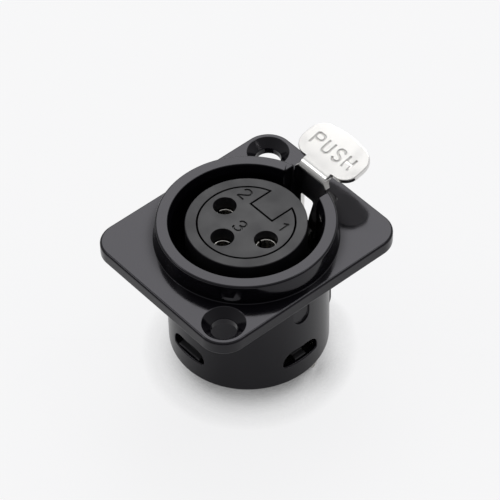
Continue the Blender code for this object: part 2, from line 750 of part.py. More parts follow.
def snap_hook(angle):
    """A hook that stands on the rear insulator and catches in a barrel window."""
    root_z = PLATE_TOP_Z - HOOK_ROOT
    top_z = PLATE_TOP_Z + HOOK_RISE
    catch_z = PLATE_TOP_Z - HOOK_CATCH_DROP
    outline = [
        (HOOK_INNER, root_z),
        (HOOK_OUTER, root_z),
        (HOOK_OUTER, catch_z - HOOK_CATCH_HEIGHT),
        (HOOK_OUTER + HOOK_REACH, catch_z - HOOK_CATCH_HEIGHT),
        (HOOK_OUTER + HOOK_REACH, catch_z),
        (HOOK_OUTER, catch_z + HOOK_RAMP),
        (HOOK_OUTER, top_z),
        (HOOK_INNER, top_z),
    ]
    hook = raised(f"hook_{angle:.0f}", [outline], -HOOK_WIDTHS[angle] / 2, HOOK_WIDTHS[angle] / 2)
    place(hook, radial(angle), Z_AXIS)
    return hook


def make_rear_plate(material):
    """The insulator that closes the barrel, cut for the contacts, the lever's eye and the lug."""
    radius = INSERT_RADIUS
    profile = [
        (0, PLATE_TOP_Z),
        (radius, PLATE_TOP_Z),
        (radius, PLATE_REAR_Z + REAR_PLATE_EDGE),
        (radius - REAR_PLATE_EDGE, PLATE_REAR_Z),
        (0, PLATE_REAR_Z),
    ]
    plate = turned("rear_plate", profile)
    for angle in WINDOW_ANGLES:
        cut(plate, window_pocket("plate_pocket", angle, POCKET_FLOOR_Z, PLATE_TOP_Z + OVERCUT))
        join(plate, snap_hook(angle))
    low = PLATE_REAR_Z - OVERCUT
    high = PLATE_TOP_Z + OVERCUT
    for name, angle in CONTACT_ANGLES.items():
        centre = radial(angle) * CONTACT_CIRCLE_RADIUS
        outline = circle(SOLDER_CUP_RADIUS + CONTACT_CLEARANCE, PIN_STEPS, centre)
        cut(plate, raised(name + "_hole", [outline], low, high))
    eye_y = PIVOT_Y - EYE_RADIUS - SLOT_END_GAP
    cut(plate, box("eye_notch", (-SLOT_HALF_WIDTH, eye_y, low), (SLOT_HALF_WIDTH, radius + OVERCUT, high)))
    half = LUG_WIDTH / 2 + LUG_CLEARANCE
    inner = LUG_OUTER - LUG_THICKNESS - LUG_CLEARANCE
    foot_inner = LUG_OUTER - LUG_FOOT_LENGTH - LUG_CLEARANCE
    foot_z = LUG_TOP_Z - LUG_THICKNESS - LUG_CLEARANCE
    tail_slot = box("lug_slot", (inner, -half, low), (radius + OVERCUT, half, high))
    foot_seat = box("lug_foot_seat", (foot_inner, -half, foot_z), (radius + OVERCUT, half, high))
    for shape in (tail_slot, foot_seat):
        shape.rotation_euler.z = math.radians(LUG_ANGLE)
        cut(plate, shape)
    finish(plate, material)


def make_ground_lug(material):
    """A strip bent under the insert, whose round-ended tail stands out behind the barrel."""
    tail_z = -BARREL_LENGTH - LUG_TAIL_LENGTH
    path = [(LUG_OUTER - LUG_FOOT_LENGTH, LUG_TOP_Z), (LUG_OUTER, LUG_TOP_Z), (LUG_OUTER, tail_z - OVERCUT)]
    section = bent_sheet(path, [0, LUG_BEND, 0], LUG_THICKNESS)
    lug = raised("ground_lug", [section], -LUG_WIDTH, LUG_WIDTH)
    place(lug, radial(LUG_ANGLE), Z_AXIS)
    top_z = LUG_TOP_Z + LUG_WIDTH
    outline = []
    for x, y in slot_outline(top_z - tail_z, LUG_WIDTH):
        outline.append((-y, x + (top_z + tail_z) / 2))
    eye = circle(LUG_EYE_RADIUS, PIN_STEPS, (0, tail_z + LUG_WIDTH / 2))
    blank = raised("lug_blank", [outline, eye], LUG_OUTER - LUG_FOOT_LENGTH - OVERCUT, LUG_OUTER + OVERCUT)
    outward = radial(LUG_ANGLE)
    place(blank, Z_AXIS.cross(outward), Z_AXIS)
    combine(lug, blank, "INTERSECT")
    finish(lug, material)


def lever_elbow():
    """Where the leg's inner face and the tab's upper face would meet if they weren't bent round."""
    elbow_z = FLANGE_THICKNESS + ELBOW_HEIGHT
    rise = elbow_z - (FLANGE_THICKNESS - LEAN_START)
    return (LEG_INNER_Y + rise * leg_lean(), elbow_z)


def lever_sheet():
    """The bent sheet of leg and tab, wider than either and still to be trimmed."""
    elbow = Vector(lever_elbow())
    tilt = math.radians(TAB_TILT_DEG)
    reach = NECK_LENGTH + TAB_SIDE + TAB_CROWN + OVERCUT
    tip = elbow + Vector((math.cos(tilt), math.sin(tilt))) * reach
    path = [(LEG_INNER_Y, PIVOT_Z), (LEG_INNER_Y, FLANGE_THICKNESS - LEAN_START), elbow, tip]
    section = bent_sheet(path, [0, KNEE_ROUNDING, ELBOW_ROUNDING, 0], LEVER_THICKNESS, steps=6)
    sheet = raised("latch_lever", [section], -TAB_WIDTH, TAB_WIDTH)
    place(sheet, Y_AXIS, Z_AXIS)
    return sheet


def tab_outline():
    half = TAB_WIDTH / 2
    side_end = NECK_LENGTH + TAB_SIDE
    corners = [
        (-half, NECK_LENGTH),
        (half, NECK_LENGTH),
        (half, side_end),
        (0, side_end + TAB_CROWN),
        (-half, side_end),
    ]
    radii = [TAB_INNER_CORNER, TAB_INNER_CORNER, TAB_OUTER_CORNER, TAB_CROWN_ROUNDING, TAB_OUTER_CORNER]
    return rounded(corners, radii, steps=6)


def lever_blank():
    """What the sheet is trimmed to: the tab's outline, the neck and the leg's shoulders."""
    elbow_y, elbow_z = lever_elbow()
    tilt = math.radians(TAB_TILT_DEG)
    blank = raised("tab_blank", [tab_outline()], -LEVER_THICKNESS - OVERCUT, OVERCUT)
    place(blank, X_AXIS, Vector((0, math.cos(tilt), math.sin(tilt))), (0, elbow_y, elbow_z))
    foot_z = PIVOT_Z - OVERCUT
    shoulder_z = RIM_Z + SHOULDER_RISE
    neck_z = shoulder_z + NECK_FLARE_LENGTH
    top_z = elbow_z + OVERCUT
    leg_half = LEVER_WIDTH / 2
    neck_half = NECK_WIDTH / 2
    right = [(leg_half, foot_z), (leg_half, shoulder_z), (neck_half, neck_z), (neck_half, top_z)]
    left = [(-x, z) for x, z in reversed(right)]
    neck_end_y = elbow_y + (NECK_LENGTH + TAB_INNER_CORNER / 2) * math.cos(tilt)
    leg = raised("leg_blank", [right + left], -neck_end_y, OVERCUT - LEG_INNER_Y)
    place(leg, X_AXIS, Z_AXIS)
    join(blank, leg)
    return blank


def nose():
    """The catch on the leg's inner face: a ramp above, a square shoulder below."""
    window_foot = FLANGE_THICKNESS - LEVER_WINDOW_DROP - LEVER_WINDOW_HEIGHT
    top_z = window_foot - NOSE_DROP
    root_y = LEG_INNER_Y + LEVER_THICKNESS / 2
    outline = [
        (root_y, top_z - NOSE_HEIGHT),
        (root_y, top_z),
        (LEG_INNER_Y, top_z),
        (LEG_INNER_Y - NOSE_REACH, top_z - NOSE_HEIGHT + NOSE_FLAT),
        (LEG_INNER_Y - NOSE_REACH, top_z - NOSE_HEIGHT),
    ]
    catch = raised("nose", [outline], -NOSE_WIDTH / 2, NOSE_WIDTH / 2)
    place(catch, Y_AXIS, Z_AXIS)
    return catch


def lever_window():
    """The window through the leg above the nose."""
    half = LEVER_WINDOW_WIDTH / 2
    top = FLANGE_THICKNESS - LEVER_WINDOW_DROP
    foot = top - LEVER_WINDOW_HEIGHT
    corners = [(-half, foot), (half, foot), (half, top), (-half, top)]
    outline = rounded(corners, [LEVER_WINDOW_CORNER] * 4, steps=3)
    far = LEG_INNER_Y + 2 * LEVER_THICKNESS + LEAN_START * leg_lean()
    window = raised("lever_window", [outline], -far, OVERCUT - LEG_INNER_Y)
    place(window, X_AXIS, Z_AXIS)
    return window


def make_lever(material):
    lever = lever_sheet()
    combine(lever, lever_blank(), "INTERSECT")
    eye_half = LEVER_WIDTH / 2 - EYE_END_PLAY
    join(lever, cross_pin("eye", EYE_RADIUS, eye_half))
    join(lever, nose())
    cut(lever, lever_window())
    bay_half = SPRING_BAY_WIDTH / 2
    bay_reach = EYE_RADIUS + OVERCUT
    bay_low = (-bay_half, PIVOT_Y - bay_reach, PIVOT_Z - bay_reach)
    bay_high = (bay_half, PIVOT_Y + bay_reach, PIVOT_Z + EYE_RADIUS + SPRING_BAY_RISE)
    cut(lever, box("spring_bay", bay_low, bay_high))
    cut(lever, cross_pin("eye_bore", PIN_RADIUS + PIN_CLEARANCE, eye_half + OVERCUT))
    finish(lever, material)


def make_pin(material):
    finish(cross_pin("pivot_pin", PIN_RADIUS, CHEEK_OUTER_X - PIN_END_RECESS, PIN_END_CHAMFER), material)


def spring_points():
    """From the end that rests on the insulator, round the pin, and up the lever's back."""
    coil = PIN_RADIUS + SPRING_CLEARANCE + SPRING_WIRE_RADIUS
    rest_y = PIVOT_Y - EYE_RADIUS - SLOT_END_GAP + SPRING_CLEARANCE
    half_width = SPRING_TURNS * SPRING_PITCH / 2
    points = [(-half_width, rest_y, PIVOT_Z - coil)]
    count = int((SPRING_TURNS + 0.25) * SPRING_POINTS_PER_TURN)
    for step in range(count + 1):
        turn = math.tau * step / SPRING_POINTS_PER_TURN - math.pi / 2
        x = half_width * (2 * step / count - 1)
        points.append((x, PIVOT_Y + coil * math.cos(turn), PIVOT_Z + coil * math.sin(turn)))
    back_y = LEG_INNER_Y + LEVER_THICKNESS + SPRING_WIRE_RADIUS + SPRING_CLEARANCE
    bay_top = PIVOT_Z + EYE_RADIUS + SPRING_BAY_RISE
    points.append((half_width, back_y, bay_top - SPRING_WIRE_RADIUS))
    points.append((half_width, back_y, PIVOT_Z + SPRING_LEG_LENGTH))
    return points


def make_spring(material):
    """The wire torsion spring round the pin, between the two halves of the lever's eye."""
    curve = bpy.data.curves.new("latch_spring", "CURVE")
    curve.dimensions = "3D"
    curve.bevel_depth = SPRING_WIRE_RADIUS
    curve.bevel_resolution = 2
    curve.use_fill_caps = True
    points = spring_points()
    spline = curve.splines.new("POLY")
    spline.points.add(len(points) - 1)
    for point, place_at in zip(spline.points, points):
        point.co = (*place_at, 1)
    finish(meshed("latch_spring", curve, Vector((0, 0, 0))), material)


clear_scene()
SOCKET = new_collection("panel_socket")
HELPERS = new_collection("panel_socket_helpers")
black_casting = new_material("black_casting", (0.018, 0.018, 0.020), 0.28, 0.2)
black_plastic = new_material("black_plastic", (0.035, 0.035, 0.038), 0.50, 0.0)
nickel = new_material("nickel", (0.74, 0.72, 0.68), 0.26, 1.0)
silvered_brass = new_material("silvered_brass", (0.80, 0.79, 0.76), 0.24, 1.0)
spring_steel = new_material("spring_steel", (0.55, 0.55, 0.56), 0.30, 1.0)

make_shell(black_casting)
make_sleeve(black_plastic)
make_core(black_plastic)
for contact_name, contact_angle in CONTACT_ANGLES.items():
    make_contact(contact_name, contact_angle, silvered_brass)
make_rear_plate(black_plastic)
make_ground_lug(silvered_brass)
make_lever(nickel)
make_pin(spring_steel)
make_spring(spring_steel)
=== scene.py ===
import math
from contextlib import contextmanager

import bmesh
import bpy
from mathutils import Matrix, Vector


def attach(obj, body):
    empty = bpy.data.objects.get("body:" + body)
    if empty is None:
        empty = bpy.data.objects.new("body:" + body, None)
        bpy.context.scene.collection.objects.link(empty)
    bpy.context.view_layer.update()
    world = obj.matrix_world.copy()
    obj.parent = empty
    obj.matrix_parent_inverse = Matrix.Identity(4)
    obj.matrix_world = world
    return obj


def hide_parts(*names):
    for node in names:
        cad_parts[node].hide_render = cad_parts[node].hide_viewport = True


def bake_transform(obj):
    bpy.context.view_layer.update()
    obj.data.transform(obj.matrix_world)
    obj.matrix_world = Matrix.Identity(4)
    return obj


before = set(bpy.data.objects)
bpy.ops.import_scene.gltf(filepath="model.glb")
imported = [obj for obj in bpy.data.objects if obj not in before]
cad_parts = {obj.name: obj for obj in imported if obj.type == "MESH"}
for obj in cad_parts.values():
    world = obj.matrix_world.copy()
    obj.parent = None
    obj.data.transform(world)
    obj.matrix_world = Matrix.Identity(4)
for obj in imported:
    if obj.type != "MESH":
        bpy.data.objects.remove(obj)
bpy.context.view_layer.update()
print("frame:", ", ".join(sorted(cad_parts)))

# Shapes are drawn in millimetres and scaled to metres when a piece is settled
toMetres = 0.001
xAxis = Vector((1, 0, 0))
yAxis = Vector((0, 1, 0))
zAxis = Vector((0, 0, 1))

pieceCollection = bpy.data.collections.new("dressedSocket")
bpy.context.scene.collection.children.link(pieceCollection)
cutterCollection = bpy.data.collections.new("cutters")
bpy.context.scene.collection.children.link(cutterCollection)


# outlines and solids

def take(sizes, names):
    return [sizes[name] for name in names.split()]


def radial(angle):
    turn = math.radians(angle)
    return Vector((math.cos(turn), math.sin(turn), 0))


def arcPoints(centre, radius, turns):
    x, y = centre[0], centre[1]
    return [(x + radius * math.cos(turn), y + radius * math.sin(turn)) for turn in turns]


def circlePoints(radius, steps, centre=(0, 0)):
    return arcPoints(centre, radius, [math.tau * step / steps for step in range(steps)])


def rectangle(left, low, right, high):
    return [(left, low), (right, low), (right, high), (left, high)]


def bothSides(right):
    return right + [(-x, y) for x, y in reversed(right)]


def cornerArc(before, corner, after, radius, steps):
    corner = Vector(corner)
    back = (Vector(before) - corner).normalized()
    ahead = (Vector(after) - corner).normalized()
    half = back.angle(ahead) / 2
    centre = corner + (back + ahead).normalized() * radius / math.sin(half)
    first = corner + back * radius / math.tan(half) - centre
    last = corner + ahead * radius / math.tan(half) - centre
    start = math.atan2(first.y, first.x)
    sweep = math.atan2(first.x * last.y - first.y * last.x, first.dot(last))
    turns = [start + sweep * step / steps for step in range(steps + 1)]
    return arcPoints(centre, radius, turns)


def roundedLine(corners, radii, closed=True, steps=8):
    points = []
    for index, (corner, radius) in enumerate(zip(corners, radii)):
        if radius == 0 or (not closed and index in (0, len(corners) - 1)):
            points.append(tuple(corner))
            continue
        after = corners[(index + 1) % len(corners)]
        points.extend(cornerArc(corners[index - 1], corner, after, radius, steps))
    return points


def flowingLine(points, steps=5):
    # A smooth line through every point, for the curved strokes of digits and letters
    ends = [points[0], *points, points[-1]]
    line = []
    for before, start, end, after in zip(ends, ends[1:], ends[2:], ends[3:]):
        for step in range(steps):
            t = step / steps
            pair = []
            for a, b, c, d in zip(before, start, end, after):
                square = 2 * a - 5 * b + 4 * c - d
                cube = 3 * b - a - 3 * c + d
                pair.append(0.5 * (2 * b + (c - a) * t + square * t**2 + cube * t**3))
            line.append(tuple(pair))
    line.append(points[-1])
    return line


def sheetSection(path, radii, thickness, steps):
    # Closed section of a sheet whose outer side follows the path and turns only to the right
    path = [Vector(point) for point in path]
    normals = []
    for start, end in zip(path, path[1:]):
        along = (end - start).normalized()
        normals.append(Vector((along.y, -along.x)))
    normals = [normals[0], *normals, normals[-1]]
    inner = []
    for point, first, second in zip(path, normals, normals[1:]):
        inner.append(point + (first + second) * thickness / (1 + first.dot(second)))
    innerRadii = [max(radius - thickness, 0) for radius in radii]
    outerPoints = roundedLine(path, radii, closed=False, steps=steps)
    innerPoints = roundedLine(inner, innerRadii, closed=False, steps=steps)
    return outerPoints + innerPoints[::-1]


def placed(obj, alongX, alongY, origin=(0, 0, 0)):
    rows = (alongX, alongY, alongX.cross(alongY))
    obj.matrix_world = Matrix.Translation(origin) @ Matrix(rows).transposed().to_4x4()
    return obj


@contextmanager
def reshaping(mesh):
    shape = bmesh.new()
    shape.from_mesh(mesh)
    yield shape
    shape.to_mesh(mesh)
    shape.free()


def drawnMesh(name, verts, faces):
    mesh = bpy.data.meshes.new(name)
    mesh.from_pydata(verts, [], faces)
    return mesh


def turnedSolid(name, profile, steps, closed=False):
    count = len(profile)
    verts = []
    for step in range(steps):
        turn = math.tau * step / steps
        for radius, height in profile:
            verts.append((radius * math.cos(turn), radius * math.sin(turn), height))
    faces = []
    for step in range(steps):
        here = step * count
        there = (step + 1) % steps * count
        for index in range(count if closed else count - 1):
            after = (index + 1) % count
            faces.append((here + index, there + index, there + after, here + after))
    mesh = drawnMesh(name, verts, faces)
    with reshaping(mesh) as shape:
        bmesh.ops.remove_doubles(shape, verts=shape.verts, dist=0.00001)  # closes the poles
        bmesh.ops.recalc_face_normals(shape, faces=shape.faces)
    return bpy.data.objects.new(name, mesh)


def meshFromCurve(name, curve, shift):
    drawn = bpy.data.objects.new(name + "Curve", curve)
    show(drawn)
    bpy.context.view_layer.update()
    graph = bpy.context.evaluated_depsgraph_get()
    mesh = bpy.data.meshes.new_from_object(drawn.evaluated_get(graph))
    bpy.data.objects.remove(drawn, do_unlink=True)
    with reshaping(mesh) as shape:
        bmesh.ops.remove_doubles(shape, verts=shape.verts, dist=0.0002)
        bmesh.ops.translate(shape, verts=shape.verts, vec=shift)
        bmesh.ops.recalc_face_normals(shape, faces=shape.faces)
    return bpy.data.objects.new(name, mesh)


def addSpline(curve, points):
    spline = curve.splines.new("POLY")
    spline.points.add(len(points) - 1)
    for point, place in zip(spline.points, points):
        point.co = Vector(place).to_3d().to_4d()
    return spline


def raisedSolid(name, outlines, low, high):
    curve = bpy.data.curves.new(name, "CURVE")
    curve.dimensions = "2D"
    curve.fill_mode = "BOTH"
    curve.extrude = (high - low) / 2
    for outline in outlines:
        addSpline(curve, outline).use_cyclic_u = True
    return meshFromCurve(name, curve, Vector((0, 0, (low + high) / 2)))


def wireSolid(name, points, radius, resolution=3):
    curve = bpy.data.curves.new(name, "CURVE")
    curve.dimensions = "3D"
    curve.bevel_depth = radius
    curve.bevel_resolution = resolution
    curve.use_fill_caps = True
    addSpline(curve, points)
    return meshFromCurve(name, curve, Vector((0, 0, 0)))


def show(obj):
    bpy.context.scene.collection.objects.link(obj)


def boxSolid(name, low, high):
    shape = bmesh.new()
    bmesh.ops.create_cube(shape, size=1)
    bmesh.ops.scale(shape, verts=shape.verts, vec=Vector(high) - Vector(low))
    bmesh.ops.translate(shape, verts=shape.verts, vec=(Vector(high) + Vector(low)) / 2)
    mesh = bpy.data.meshes.new(name)
    shape.to_mesh(mesh)
    shape.free()
    return bpy.data.objects.new(name, mesh)


def combine(target, other, operation):
    # The cutters are cleared away when the target is baked
    cutterCollection.objects.link(other)
    other.hide_render = True
    change = target.modifiers.new(other.name, "BOOLEAN")
    change.operation = operation
    change.solver = "EXACT"
    change.object = other


def cut(target, other):
    combine(target, other, "DIFFERENCE")


def join(target, other):
    combine(target, other, "UNION")


def bake(obj):
    # Puts the result of the modifiers in the mesh
    if obj.name not in pieceCollection.objects:
        pieceCollection.objects.link(obj)
    bpy.context.view_layer.update()
    graph = bpy.context.evaluated_depsgraph_get()
    mesh = bpy.data.meshes.new_from_object(obj.evaluated_get(graph))
    cutters = [change.object for change in obj.modifiers if change.type == "BOOLEAN"]
    obj.modifiers.clear()
    obj.data = mesh
    for cutter in cutters:
        bpy.data.objects.remove(cutter, do_unlink=True)


def mergeFlats(shape):
    # Joins the level faces that a cut leaves, so that a wide face shades as one. Only for pieces
    # without a narrow ledge round a wide opening: there the joined face would close the opening.
    limit = math.radians(0.3)
    bmesh.ops.dissolve_limit(shape, angle_limit=limit, verts=shape.verts, edges=shape.edges)


def softenEdges(obj, width, segments=3, angle=38, widthAt=None, flats=False):
    # Welds what the cuts leave, then rounds the sharp edges so that they catch the light.
    # widthAt gives some places, by their middle point, a rounding of their own.
    weld = 0.012
    bake(obj)
    with reshaping(obj.data) as shape:
        bmesh.ops.remove_doubles(shape, verts=shape.verts, dist=weld)
        bmesh.ops.dissolve_degenerate(shape, edges=shape.edges, dist=weld / 4)
        if flats:
            mergeFlats(shape)
        weight = shape.edges.layers.float.new("bevel_weight_edge")
        joined = [edge for edge in shape.edges if len(edge.link_faces) == 2]
        sharp = [edge for edge in joined if edge.calc_face_angle() > math.radians(angle)]
        middles = [(edge.verts[0].co + edge.verts[1].co) / 2 for edge in sharp]
        widths = [widthAt(middle) if widthAt else width for middle in middles]
        widest = max(widths)
        for edge, wanted in zip(sharp, widths):
            edge[weight] = wanted / widest
    bevel = obj.modifiers.new("softEdges", "BEVEL")
    bevel.width = widest
    bevel.segments = segments
    bevel.limit_method = "WEIGHT"
    bevel.use_clamp_overlap = False
    bake(obj)


def wallDirection(place, normal, walls):
    # On a round wall the true direction away from the axis, also between the strips it is made of.
    # It outweighs any rounding beside the wall.
    away = Vector((place.x, place.y, 0))
    reach = away.length / toMetres
    lean = away.normalized().dot(normal)
    if abs(lean) < 0.999 or not any(abs(reach - wall) < 0.006 for wall in walls):
        return normal
    return away.normalized() * math.copysign(1000, lean)


def flattenNormals(mesh, walls):
    # Wide faces stay flat beside their rounded edges, and round walls turn evenly: a face counts
    # by how wide it is across, so that tall and short strips of one wall count for the same
    sides = {}
    rims = {}
    for face in mesh.polygons:
        for corner in face.loop_indices:
            loop = mesh.loops[corner]
            before = face.loop_start + (corner - face.loop_start - 1) % face.loop_total
            ends = [mesh.vertices[index].co for index in mesh.edges[loop.edge_index].vertices]
            rims[face.index] = rims.get(face.index, 0) + (ends[1] - ends[0]).length
            for edge in (loop.edge_index, mesh.loops[before].edge_index):
                if not mesh.edges[edge].use_edge_sharp:
                    sides.setdefault((loop.vertex_index, edge), []).append(corner)
    fanOf = list(range(len(mesh.loops)))

    def root(corner):
        while fanOf[corner] != corner:
            fanOf[corner] = fanOf[fanOf[corner]]
            corner = fanOf[corner]
        return corner

    for first, *others in sides.values():
        for other in others:
            fanOf[root(other)] = root(first)
    sums = {}
    for face in mesh.polygons:
        weight = (face.area / rims[face.index] / toMetres) ** 3
        for corner in face.loop_indices:
            fan = root(corner)
            place = mesh.vertices[mesh.loops[corner].vertex_index].co
            sums[fan] = sums.get(fan, Vector()) + wallDirection(place, face.normal, walls) * weight
    corners = range(len(mesh.loops))
    mesh.normals_split_custom_set([sums[root(corner)].normalized() for corner in corners])


def settle(obj, body, node, slotName, sharpAngle=36, walls=(), flats=False):
    # body is None for a piece that is attached to no body, and walls are the
    # radii of the round walls that shade as true rounds
    bake(obj)
    mesh = obj.data
    mesh.transform(Matrix.Scale(toMetres, 4) @ obj.matrix_world)
    obj.matrix_world = Matrix.Identity(4)
    if flats:
        with reshaping(mesh) as shape:
            mergeFlats(shape)
    mesh.shade_smooth()
    mesh.set_sharp_from_angle(angle=math.radians(sharpAngle))
    flattenNormals(mesh, walls)
    mesh.materials.clear()
    mesh.materials.append(finishes[slotName])
    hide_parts(node)
    if body:
        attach(obj, body)
    print("settled", obj.name, len(mesh.polygons), "faces")


# finishes

def fill(socket, value):
    if isinstance(value, bpy.types.NodeSocket):
        socket.id_data.links.new(value, socket)
    else:
        socket.default_value = (*value, 1) if socket.type == "RGBA" else value


def addNode(tree, kind, values={}, **settings):
    # values go to the sockets of the node, and settings to the node itself
    node = tree.nodes.new("ShaderNode" + kind)
    for name, value in settings.items():
        setattr(node, name, value)
    for name, value in values.items():
        fill(node.inputs[name], value)
    return node


def nodeTree(name, color, roughness, metallic, ior=1.5):
    material = bpy.data.materials.new(name)
    material.use_nodes = True
    shader = material.node_tree.nodes["Principled BSDF"]
    values = {"Base Color": color, "Roughness": roughness, "Metallic": metallic, "IOR": ior}
    for socket, value in values.items():
        fill(shader.inputs[socket], value)
    return material, material.node_tree, shader


def addNoise(tree, grain, detail, stretch=(1, 1, 1)):
    # grain is the size of the largest blotches, in millimetres
    place = addNode(tree, "TexCoord").outputs["Object"]
    spread = addNode(tree, "Mapping", {"Vector": place, "Scale": stretch}).outputs["Vector"]
    values = {"Vector": spread, "Scale": 1 / (grain * toMetres), "Detail": detail}
    return addNode(tree, "TexNoise", values).outputs["Fac"]


def addRange(tree, value, low, high, newLow, newHigh):
    names = ("Value", "From Min", "From Max", "To Min", "To Max")
    values = dict(zip(names, (value, low, high, newLow, newHigh)))
    return addNode(tree, "MapRange", values).outputs["Result"]


def addMath(tree, operation, first, second):
    return addNode(tree, "Math", {0: first, 1: second}, operation=operation).outputs["Value"]


def addMix(tree, amount, first, second):
    values = {"Factor": amount, "A": first, "B": second}
    return addNode(tree, "Mix", values, data_type="RGBA").outputs["Result"]


def addCloseness(tree, reach, inside=False):
    # 1 where the surface is open and 0 deep in a recess, or with inside, at the edges
    values = {"Distance": reach * toMetres}
    return addNode(tree, "AmbientOcclusion", values, samples=8, inside=inside).outputs["AO"]


def addBump(shader, height, rise):
    # rise is the height of the relief, in millimetres
    values = {"Strength": 1, "Distance": rise * toMetres, "Height": height}
    fill(shader.inputs["Normal"], addNode(shader.id_data, "Bump", values).outputs["Normal"])


def varyRoughness(shader, noise, roughness, low=0.3, high=0.7):
    # The part of the noise between low and high spreads over the whole range of roughness
    fill(shader.inputs["Roughness"], addRange(shader.id_data, noise, low, high, *roughness))


def tint(shader, amount, first, second):
    fill(shader.inputs["Base Color"], addMix(shader.id_data, amount, first, second))


castingFinish = {
    "color": (0.0024, 0.0021, 0.0036),
    "worn": (0.060, 0.058, 0.055),
    "roughness": (0.09, 0.16),
    "ior": 1.45,
    "sheenTone": (0.94, 0.92, 1.0),
    "clouds": 2.6,
    "fine": 0.09,
    "chips": 0.35,
    "grain": 0.55,
    "relief": 0.0022,
    "edgeReach": 0.12,
    "paintedShadeReach": 2.0,
    "paintedShadeShine": (0.22, 0.5),  # specular level deep in a recess and in the open: painted shade that dims the reflections in recesses
}


def makeCastingFinish():
    sizes = castingFinish
    material, tree, shader = nodeTree("blackEnamelledCasting", sizes["color"], 0.2, 0, sizes["ior"])
    fill(shader.inputs["Specular Tint"], sizes["sheenTone"])
    clouds = addMath(tree, "MULTIPLY", addNoise(tree, sizes["clouds"], 3), 0.7)
    fine = addNoise(tree, sizes["fine"], 2)
    blend = addMath(tree, "ADD", clouds, addMath(tree, "MULTIPLY", fine, 0.3))
    varyRoughness(shader, blend, sizes["roughness"])
    edge = addRange(tree, addCloseness(tree, sizes["edgeReach"], True), 0.62, 0.30, 0, 1)
    chips = addRange(tree, addNoise(tree, sizes["chips"], 4), 0.56, 0.66, 0, 1)
    tint(shader, addMath(tree, "MULTIPLY", edge, chips), sizes["color"], sizes["worn"])
    # Painted shade: the reflections are dimmed deep in recesses, such as the screw countersinks
    closeness = addCloseness(tree, sizes["paintedShadeReach"])
    sheen = addRange(tree, closeness, 0.55, 0.92, *sizes["paintedShadeShine"])
    fill(shader.inputs["Specular IOR Level"], sheen)
    peel = addMath(tree, "MULTIPLY", fine, 0.12)
    peel = addMath(tree, "ADD", addNoise(tree, sizes["grain"], 1.5), peel)
    addBump(shader, peel, sizes["relief"])
    return material


plasticFinish = {
    "color": (0.0135, 0.0132, 0.0165),
    "dust": (0.030, 0.030, 0.033),
    # colour of the painted shade deep in recesses
    "paintedShadeTone": (0.003, 0.003, 0.003),
    "paintedShadeReach": 2.4,
    "roughness": (0.40, 0.54),
    "clouds": 3.4,
    "grain": 0.06,
    "relief": 0.0018,
}


def makePlasticFinish():
    sizes = plasticFinish
    material, tree, shader = nodeTree("mouldedBlackPlastic", sizes["color"], 0.47, 0, 1.5)
    clouds = addNoise(tree, sizes["clouds"], 3)
    spark = addNoise(tree, sizes["grain"], 2)
    varyRoughness(shader, clouds, sizes["roughness"], 0.32, 0.68)
    dust = addRange(tree, addMath(tree, "MULTIPLY", clouds, spark), 0.24, 0.46, 0, 0.30)
    tone = addMix(tree, dust, sizes["color"], sizes["dust"])
    # Painted shade: the colour turns near black deep in recesses, such as the contact holes and
    # round the core
    depth = addRange(tree, addCloseness(tree, sizes["paintedShadeReach"]), 0.74, 0.40, 0, 1)
    tint(shader, depth, tone, sizes["paintedShadeTone"])
    addBump(shader, spark, sizes["relief"])
    return material


nickelFinish = {
    "color": (0.89, 0.88, 0.865),
    # colour of the painted shade in grooves and narrow recesses
    "paintedShadeTone": (0.30, 0.285, 0.27),
    "cloud": (0.84, 0.83, 0.81),
    "roughness": (0.12, 0.22),
    "clouds": 1.7,
    "strokes": 0.5,
    "paintedShadeReach": 0.22,
    "relief": 0.0012,
}


def makeNickelFinish():
    sizes = nickelFinish
    material, tree, shader = nodeTree("tumbledNickelPlate", sizes["color"], 0.24, 1)
    clouds = addNoise(tree, sizes["clouds"], 3)
    strokes = addNoise(tree, sizes["strokes"], 3, (1.0, 0.12, 0.12))
    varyRoughness(shader, clouds, sizes["roughness"])
    tone = addMix(tree, addRange(tree, clouds, 0.35, 0.75, 0, 1), sizes["color"], sizes["cloud"])
    # Painted shade: the colour darkens in the letter grooves and other narrow recesses
    paintedShadeMask = addRange(tree, addCloseness(tree, sizes["paintedShadeReach"]), 0.97, 0.66, 0, 0.95)
    tint(shader, paintedShadeMask, tone, sizes["paintedShadeTone"])
    addBump(shader, strokes, sizes["relief"])
    return material


contactFinish = {
    "color": (0.86, 0.84, 0.80),
    "tarnish": (0.52, 0.46, 0.36),
    # colour of the painted shade deep in the bores
    "paintedShadeTone": (0.16, 0.14, 0.11),
    "paintedShadeReach": 1.6,
    "roughness": (0.16, 0.34),
    "clouds": 1.1,
    "rings": 0.25,
    "relief": 0.0009,
}


def makeContactFinish():
    sizes = contactFinish
    material, tree, shader = nodeTree("silveredBrass", sizes["color"], 0.22, 1)
    clouds = addNoise(tree, sizes["clouds"], 4)
    rings = addNoise(tree, sizes["rings"], 2, (0.15, 0.15, 1.0))
    varyRoughness(shader, clouds, sizes["roughness"])
    tarnish = addRange(tree, clouds, 0.52, 0.74, 0, 0.55)
    tone = addMix(tree, tarnish, sizes["color"], sizes["tarnish"])
    # Painted shade: the colour darkens deep in the bores and recesses; the tarnish above is the
    # metal's own
    paintedShadeMask = addRange(tree, addCloseness(tree, sizes["paintedShadeReach"]), 0.60, 0.15, 0, 1)
    tint(shader, paintedShadeMask, tone, sizes["paintedShadeTone"])
    addBump(shader, rings, sizes["relief"])
    return material


steelFinish = {
    "color": (0.52, 0.52, 0.53),
    "oxide": (0.26, 0.25, 0.25),
    "roughness": (0.22, 0.40),
    "clouds": 0.6,
    "grain": 0.05,
    "relief": 0.0007,
}


